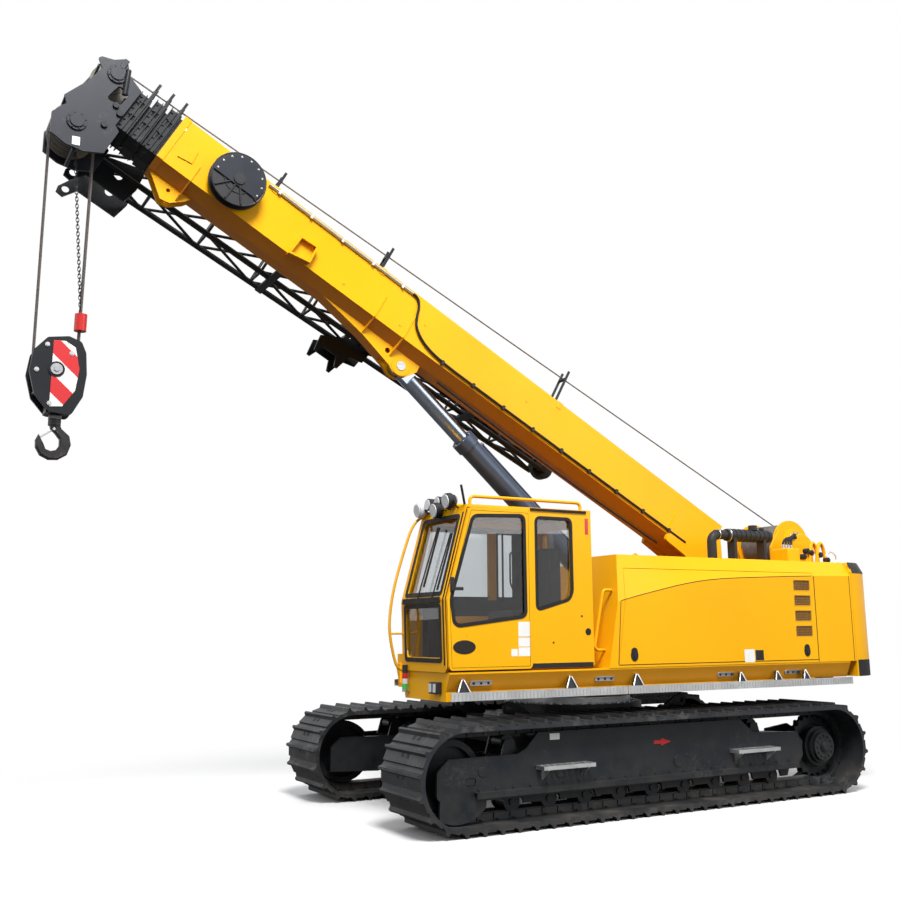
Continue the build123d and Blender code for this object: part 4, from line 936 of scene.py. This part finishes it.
        # Rubber strip down the front corner and round the front panes.
        def front(y, z, out=0.0):
            """A point on the cab's front face, proud of it by an amount."""
            if z < 2040:
                return at(2350 + 22 * (z - 1388) / 652 + out, y, z)
            return at(2372 - 240 * (z - 2040) / 884 + out, y, z + 0.27 * out)

        strip = Shape()
        stations = (1450, 1700, 2036, 2300, 2600, 2850)
        for z0, z1 in zip(stations, stations[1:]):
            strip.prism([front(1348, z0), front(1370, z0), front(1370, z1), front(1348, z1)], (4, 0, 1))
        strip.piece("corner_strip", "upper", "rubber")
        for name, z0, z1 in (("windscreen", 2074, 2838), ("low_pane", 1470, 2006)):
            pane = rounded(rectangle(560, 1316, z0, z1), 50)
            Shape().band(pane, shrunk(pane, 40), 0, 5, lambda y, out, z: front(y, z, out)).piece(
                f"{name}_seal", "upper", "rubber")


class CRANE_OT_house(Making, bpy.types.Operator):
    """Machinery house: seams, latches, vents, blank labels, lifting eyes and trim"""
    bl_idname, bl_label = "crane.house", "Machinery house"

    def make(self, sizes):
        # A dark line painted along the shoulder's crease as its shade; seams under the door and at the panels' ends.
        crease = [(373, 2043), (150, 2096), (-90, 2147), (-450, 2222), (-862, 2280), (-1500, 2312), (-2350, 2340)]
        bent_tube("shoulder_line", [(x, SIDE_Y - 1.5, z) for x, z in crease], 0.004, "service_door_left", "rubber")
        Shape().band([(-2389, 1409), (428, 1409), (419, 1418), (-2380, 1418)],
                     [(-2381, 1416), (421, 1416), (419, 1417), (-2381, 1417)], SIDE_Y - 4, SIDE_Y + 1).piece(
            "door_seam_low", "upper", "gap")
        seams = Shape().box(-2392, -2383, SIDE_Y - 4, SIDE_Y + 1, 1392, 2338)
        seams.box(-2972, -2963, SIDE_Y - 4, SIDE_Y + 1, 1392, 2350)
        seams.plate([(424, 1418), (433, 1418), (379, 2038), (371, 2038)], SIDE_Y - 4, 5)
        seams.piece("house_seams", "upper", "gap")
        for n, (x, z) in enumerate(((229, 1506), (-2207, 1510))):
            drop = [(x + 46 * cos(a), z + 57.5 * sin(a) + (18 if sin(a) > 0.6 else 0)) for a in full_turn(28)]
            Shape().plate(drop, SIDE_Y - 0.5, 9).piece(f"door_latch_{n}", "service_door_left", "rubber", 3)
            pieces("service_door_left", (f"latch_lever_{n}", "plastic", 3,
                                         (x - 10, x + 10, SIDE_Y + 8, SIDE_Y + 15, z - 36, z + 26)))
        pieces("service_door_left",
               ("square_cover", "rubber", 4, (-1538, -1420, SIDE_Y - 0.5, SIDE_Y + 4, 1425, 1530)),
               ("house_label", "label", 0, (-1407, -1262, SIDE_Y - 0.5, SIDE_Y + 1.2, 1405, 1540)))

        # Vents: mesh behind slats, in a rounded edge.
        for row in range(4):
            z = 1664 + 168 * row
            Shape().plate(rounded(rectangle(-2314, -2056, z + 7, z + 121), 30), 1378, 22).piece(
                f"vent_mesh_{row}", "service_door_left", "mesh")
            repeat(f"vent_slats_{row}", [(-2300, 1398, z + 64), (-2070, 1398, z + 64)], False,
                   Shape().box(-4, 4, 0, 16, -50, 50), 11, Y_WAY, "service_door_left", "mesh")
            edge = rounded(rectangle(-2321, -2049, z, z + 128), 34)
            Shape().band(edge, shrunk(edge, 9), SIDE_Y - 6, SIDE_Y + 2).piece(
                f"vent_edge_{row}", "service_door_left", "orange", 1)

        # Tail: black guards and caps round its corners, each a profile of (outward, z) points swept round.
        for side, out in SIDES:
            for name, finish, profile in (
                ("corner_guard", "rubber", ((4, 1216), (4, 1400), (-6, 1400), (-6, 1216))),
                ("corner_cap", "plastic", ((4, 2386), (3, 2402), (-55, 2514), (-64, 2508), (-8, 2386))),
            ):
                guard = Shape()
                rows = [[guard.bm.verts.new(at(-3025 - (515 + shift) * sin(a), out * (901 + (515 + shift) * cos(a)), z))
                         for a in fan(0, 90, 8)] for shift, z in profile]
                for row, above in zip(rows, rows[1:] + rows[:1]):
                    for n in range(8):
                        guard.bm.faces.new((row[n], row[n + 1], above[n + 1], above[n]))
                for n in (0, 8):
                    guard.bm.faces.new([row[n] for row in rows])
                guard.piece(f"{name}_{side}", "upper", finish, 1.5)

        # Sill: triangular plank brackets before black blocks that paint the shade in their recesses, catches with
        # bolts, and ribs under the planks' faces.
        for n, (x, wide, high) in enumerate(((2194, 62, 1318), (1008, 62, 1318), (203, 62, 1318), (-1198, 46, 1300),
                                             (-1730, 46, 1300), (-2160, 46, 1300))):
            Shape().prism([(x - wide, 1400, 1213), (x + wide, 1400, 1213), (x + 12, 1384, high), (x - 12, 1384, high)],
                          26).piece(f"bracket_recess_{n}", "upper", "plastic", 2)
            for word, foot in (("front", wide), ("rear", -wide)):
                rod(f"plank_bracket_{word}_{n}", [(x + foot, 1434, 1213), (x + foot * 0.2, 1412, high),
                    (x + foot * 0.1, 1390, high + 6)], 0.008, "upper", "silver")
        slope = Vector((0, 72, 157)).normalized()
        outline = ((-120, -8), (-105, -24), (105, -24), (120, -8), (120, 8), (105, 24), (-105, 24), (-120, 8))
        for n, x in enumerate((1988, 580, -1010, -2000)):
            base = at(x, 1374, 1290)
            Shape().prism([base + at(dx, 0, 0) + slope * dz * MM for dx, dz in outline], (0, 9, -4)).piece(
                f"sill_catch_{n}", "upper", "steel", 1.5)
            pieces("upper", (f"sill_catch_bolts_{n}", "plastic", 0, *(
                (base + at(dx, 9, -4), 13, 9, 16, (0, 0.91, -0.42)) for dx in (-78, 0, 78))))
        for word, x0, x1, count in (("front", 400, 2300, 48), ("rear", -2840, 310, 80)):
            repeat(f"plank_ribs_{word}", [(x0, 1445, 1175), (x1, 1445, 1175)], False,
                   Shape().box(-3, 3, 0, 3, -28, 28), count, Y_WAY, "upper", "silver")
        Shape().ring((-2600, 700, 2545), 34, 9, 24).ring((-400, 700, 2545), 34, 9, 24).piece(
            "roof_eyes", "upper", "body")


class CRANE_OT_winch(Making, bpy.types.Operator):
    """Winch: gearbox, motor, valve block, hoses and the loose ring at the tail"""
    bl_idname, bl_label = "crane.winch", "Winch fittings"

    def make(self, sizes):
        x, z = WINCH
        repeat("winch_gearbox_bolts", circle(x, z, 150, 36, 415), True, hexagon(11, 10), 14, Y_WAY, "upper", "steel")
        # Guard and valve gear stand beside the winch, over the left house.
        for n, vx in enumerate((-2960, -3090)):
            bent_tube(f"valve_strap_{n}", [(vx + 60, 900, 2514), (vx + 40, 905, 2700), (vx - 40, 880, 2800),
                      (vx - 130, 860, 2700), (vx - 140, 860, 2514)], 0.022, "upper", "body")
        fittings, caps = [], []
        for vx, vz in ((-2800, 2600), (-2860, 2670), (-2930, 2650), (-3080, 2630), (-3200, 2570)):
            fittings += [((vx, 905, vz), 34, 60, 18), ((vx, 940, vz), 20, 24, 6)]
        for n in range(4):
            hose_x = -2720 + 45 * n
            caps += [((hose_x, 800, 2722), 15, 50, 14, UPRIGHT), ((hose_x - 220, 860, 2625), 13, 32, 14, UPRIGHT)]
            bent_tube(f"winch_hose_{n}", [(hose_x, 800, 2745), (hose_x - 20, 790, 2835),
                      (-2900 - 20 * n, 700, 2900 - 18 * n), (-3080 + 10 * n, 620, 2860), (-3180, 520 - 10 * n, 2790)],
                      sizes.hose, "upper", "rubber")
        pieces(
            "upper",
            ("winch_gearbox", "body", 4, ((x, 392, z), 176, 46, 48), ((x, 424, z), 118, 34, 40)),
            ("winch_motor", "black", 4, ((x, -412, z), 92, 90), (x - 60, x + 60, -560, -452, z - 70, z + 70)),
            ("valve_guard", "body", 8, ((-3005, 650, 2700), 200, 130, 40), (-3160, -2850, 560, 740, 2514, 2640)),
            ("valve_block", "body", 14, (-2760, -2560, 640, 900, 2514, 2700), (-2960, -2780, 760, 900, 2514, 2610)),
            ("valve_fittings", "plastic", 2, *fittings), ("valve_caps", "silver", 1.5, *caps),
            ("tail_ring_foot", "steel", 3, ((-3400, 800, 2514), 42, 36, 20, UPRIGHT)),
            ("filter_cap", "plastic", 5, ((-2100, 800, 2925), 52, 60, 28, UPRIGHT),
             ((-2240, 800, 2912), 30, 40, 22, UPRIGHT)),
        )
        Shape().ring((-3400, 800, 2608), 74, 10, 36, 10, (0.25, 1, 0)).piece("tail_ring", "upper", "silver")
        Shape().ring((-1700, 800, 2829), 70, 6, 36, 6, X_WAY).ring((-1540, 800, 2829), 57, 6, 36, 6, X_WAY).piece(
            "filter_clamps", "upper", "silver")


class CRANE_OT_tracks(Making, bpy.types.Operator):
    """Tracks: chain links, painted shade in the shoe slots, hub bolts, covers and blank arrows"""
    bl_idname, bl_label = "crane.tracks", "Tracks"

    def make(self, sizes):
        def loop(radius, y):
            """Points round both wheels at a radius."""
            return [(x + radius * cos(a), y, TRACK_R + radius * sin(a))
                    for x, first in ((IDLER_X, -90), (SPROCKET_X, 90)) for a in fan(first, first + 180, 24)]

        link = ((-82, -26), (-60, -38), (20, -38), (44, -22), (82, -22), (82, 26), (-82, 30))
        arrow = ((54, 680), (-40, 680), (-40, 698), (-163, 663), (-40, 628), (-40, 648), (54, 648))
        for side, out in SIDES:
            middle, hub, face = TRACK_MID * out, (TRACK_MID + 232) * out, 1450 * out
            for row, y in (("outer", 100), ("inner", -100)):
                repeat(f"chain_{row}_{side}", loop(TRACK_R - 112, middle + y), True, Shape().plate(link, -14, 28),
                       sizes.links, Y_WAY, "undercarriage", "track")
            # Slots in the shoes, in pairs: thin black blocks, slightly sunk, that paint the shade inside each slot.
            for pair, y in (("a", -52), ("b", 52)):
                repeat(f"shoe_slots_{pair}_{side}", loop(TRACK_R - 33.4, middle + y), True,
                       Shape().box(-26, 26, -20, 20, -1, 1.2), sizes.links, Y_WAY, "undercarriage", "rubber")
            for ring, radius, y, size, count in ((150, 140, 1375, 12, 16), (112, 112, 1415, 10, 12)):
                repeat(f"drive_bolts_{ring}_{side}", circle(SPROCKET_X, TRACK_R, radius, 48, y * out), True,
                       hexagon(size, 14), count, (0, out, 0), "undercarriage", "under")
            # Final drive cap, access covers, bolt row, arrow, blank label and track adjuster plate.
            pieces("undercarriage", (f"drive_cap_{side}", "under", 3,
                                     ((SPROCKET_X, hub + 4 * out, TRACK_R), 46, 14)), *(
                (f"frame_cover_{side}_{n}", "under", 2, ((x, face + 3 * out, z), radius, 8))
                for n, (x, z, radius) in enumerate(((-250, 470, 58), (1180, 470, 58), (2020, 520, 44)))))
            repeat(f"frame_bolts_{side}", [(-1780, face, 372), (2060, face, 372)], False, hexagon(9, 9), 22,
                   (0, out, 0), "undercarriage", "under")
            Shape().plate(arrow, face, 2 * out).piece(f"travel_arrow_{side}", "undercarriage", "red")
            Shape().plate(rectangle(1180, 1290, 755, 812), face, 2 * out).piece(
                f"frame_label_{side}", "undercarriage", "label")
            pieces("undercarriage", (f"adjuster_plate_{side}", "under", 2,
                                     (2092, 2192, face - 14 * out, face - 6 * out, 412, 468)))
        # Slewing ring's bolts, standing upright.
        repeat("ring_bolts", [(690 * cos(a), 690 * sin(a), 990) for a in full_turn(72)], True,
               Shape().disc((0, 9, 0), 14, 18, 6), 40, UPRIGHT, "undercarriage", "steel")


class CRANE_OT_stage(Making, bpy.types.Operator):
    """Floor, lights, sky and the camera"""
    bl_idname, bl_label = "crane.stage", "Stage"

    def make(self, sizes):
        scene = bpy.context.scene
        scene.view_settings.view_transform = "Standard"
        disc = Shape()
        bmesh.ops.create_circle(disc.bm, cap_ends=True, segments=64, radius=90.0)
        floor = bpy.data.objects.new("floor", disc.mesh("floor"))
        scene.collection.objects.link(floor)
        floor.data.materials.append(self.floor_finish())
        for name, place, aim, power, size in (
            ("key", (5.0, 10.5, 17.0), (0.0, 0, 2.0), 4300, 6.0),
            ("fill", (-9.0, 14.0, 8.0), (-1.0, 0, 2.0), 650, 8.0),
            ("front", (16.0, -2.0, 7.0), (1.0, 0, 2.5), 200, 7.0),
        ):
            lamp = bpy.data.lights.new(name, "AREA")
            lamp.energy, lamp.size = power, size
            holder = bpy.data.objects.new(name, lamp)
            scene.collection.objects.link(holder)
            holder.location = place
            holder.rotation_euler = (Vector(aim) - Vector(place)).to_track_quat("-Z", "Y").to_euler()
        self.sky(scene)
        lens = bpy.data.cameras.new("camera")
        lens.lens, lens.sensor_width, lens.clip_end = 41.86, 36.0, 200.0
        lens.shift_x, lens.shift_y = -0.0307, -0.0351
        camera = bpy.data.objects.new("camera", lens)
        scene.collection.objects.link(camera)
        yaw, pitch, roll = CAMERA_TURN
        turn = (Matrix.Rotation(radians(yaw - 90), 4, "Z") @ Matrix.Rotation(radians(90 + pitch), 4, "X")
                @ Matrix.Rotation(radians(roll), 4, "Z"))
        camera.matrix_world = Matrix.Translation(CAMERA_PLACE) @ turn
        scene.camera = camera

    @staticmethod
    def floor_finish():
        """Pale floor near the tracks that turns into plain white further out."""
        material = bpy.data.materials.new("pale_floor")
        material.use_nodes = True
        tree = material.node_tree
        shader, end = tree.nodes["Principled BSDF"], tree.nodes["Material Output"]
        shader.inputs["Roughness"].default_value = 0.6
        seen = feed(tree, "LightPath", out="Is Camera Ray")
        reach = feed(tree, "VectorMath", {0: feed(tree, "TexCoord", out="Object")}, "Value", operation="LENGTH")
        far = feed(tree, "MapRange", {"Value": reach, "From Min": 3.4, "From Max": 7.5},
                   interpolation_type="SMOOTHSTEP")
        bounce = feed(tree, "Mix", {0: seen, 6: (0.10, 0.095, 0.09, 1), 7: (0.86, 0.86, 0.86, 1)}, 2, data_type="RGBA")
        tree.links.new(bounce, shader.inputs["Base Color"])
        blank = feed(tree, "Math", {0: far, 1: seen}, operation="MULTIPLY")
        mix = feed(tree, "MixShader", {0: blank, 1: shader.outputs[0], 2: feed(tree, "Emission")})
        tree.links.new(mix, end.inputs["Surface"])
        return material

    @staticmethod
    def sky(scene):
        """Plain white where it is seen directly, and a soft gradient for the light."""
        scene.world = bpy.data.worlds.new("studio")
        scene.world.use_nodes = True
        tree = scene.world.node_tree
        white = tree.nodes["Background"]
        white.inputs["Color"].default_value, white.inputs["Strength"].default_value = (1, 1, 1, 1), 1.0
        height = feed(tree, "SeparateXYZ", {0: feed(tree, "TexCoord", out="Generated")}, "Z")
        glow = feed(tree, "MapRange", {"Value": height, "From Min": 0.0, "From Max": 0.9, "To Min": 0.22,
                                       "To Max": 0.85})
        soft = feed(tree, "Background", {"Color": (0.95, 0.97, 1, 1), "Strength": glow})
        rays = feed(tree, "LightPath").node.outputs
        seen = feed(tree, "Math", {0: rays["Is Camera Ray"], 1: rays["Is Glossy Ray"]}, operation="MAXIMUM")
        seen = feed(tree, "Math", {0: seen, 1: rays["Is Transmission Ray"]}, operation="MAXIMUM")
        mix = feed(tree, "MixShader", {0: seen, 1: soft, 2: white.outputs[0]})
        tree.links.new(mix, tree.nodes["World Output"].inputs["Surface"])


OPERATORS = (
    CRANE_OT_finishes, CRANE_OT_ropes, CRANE_OT_hook, CRANE_OT_head, CRANE_OT_boom, CRANE_OT_cab, CRANE_OT_house,
    CRANE_OT_winch, CRANE_OT_tracks, CRANE_OT_stage,
)


class CRANE_PT_panel(bpy.types.Panel):
    """Shows the crane's sizes and colours and a button for each operator"""
    bl_idname, bl_label = "CRANE_PT_panel", "Crawler crane"
    bl_space_type, bl_region_type, bl_category = "VIEW_3D", "UI", "Crane"

    def draw(self, context):
        for settings in (context.scene.crane_sizes, context.scene.crane_colours):
            for key in settings.__annotations__:
                self.layout.prop(settings, key)
        for operator in OPERATORS:
            self.layout.operator(operator.bl_idname)


CLASSES = (CraneSizes, CraneColours, *OPERATORS, CRANE_PT_panel)


def register():
    for kind in CLASSES:
        bpy.utils.register_class(kind)
    bpy.types.Scene.crane_sizes = PointerProperty(type=CraneSizes)
    bpy.types.Scene.crane_colours = PointerProperty(type=CraneColours)


def unregister():
    del bpy.types.Scene.crane_colours
    del bpy.types.Scene.crane_sizes
    for kind in reversed(CLASSES):
        bpy.utils.unregister_class(kind)


def main():
    register()
    for operator in OPERATORS:
        getattr(bpy.ops.crane, operator.bl_idname.split(".")[1])()


if __name__ == "__main__":
    main()
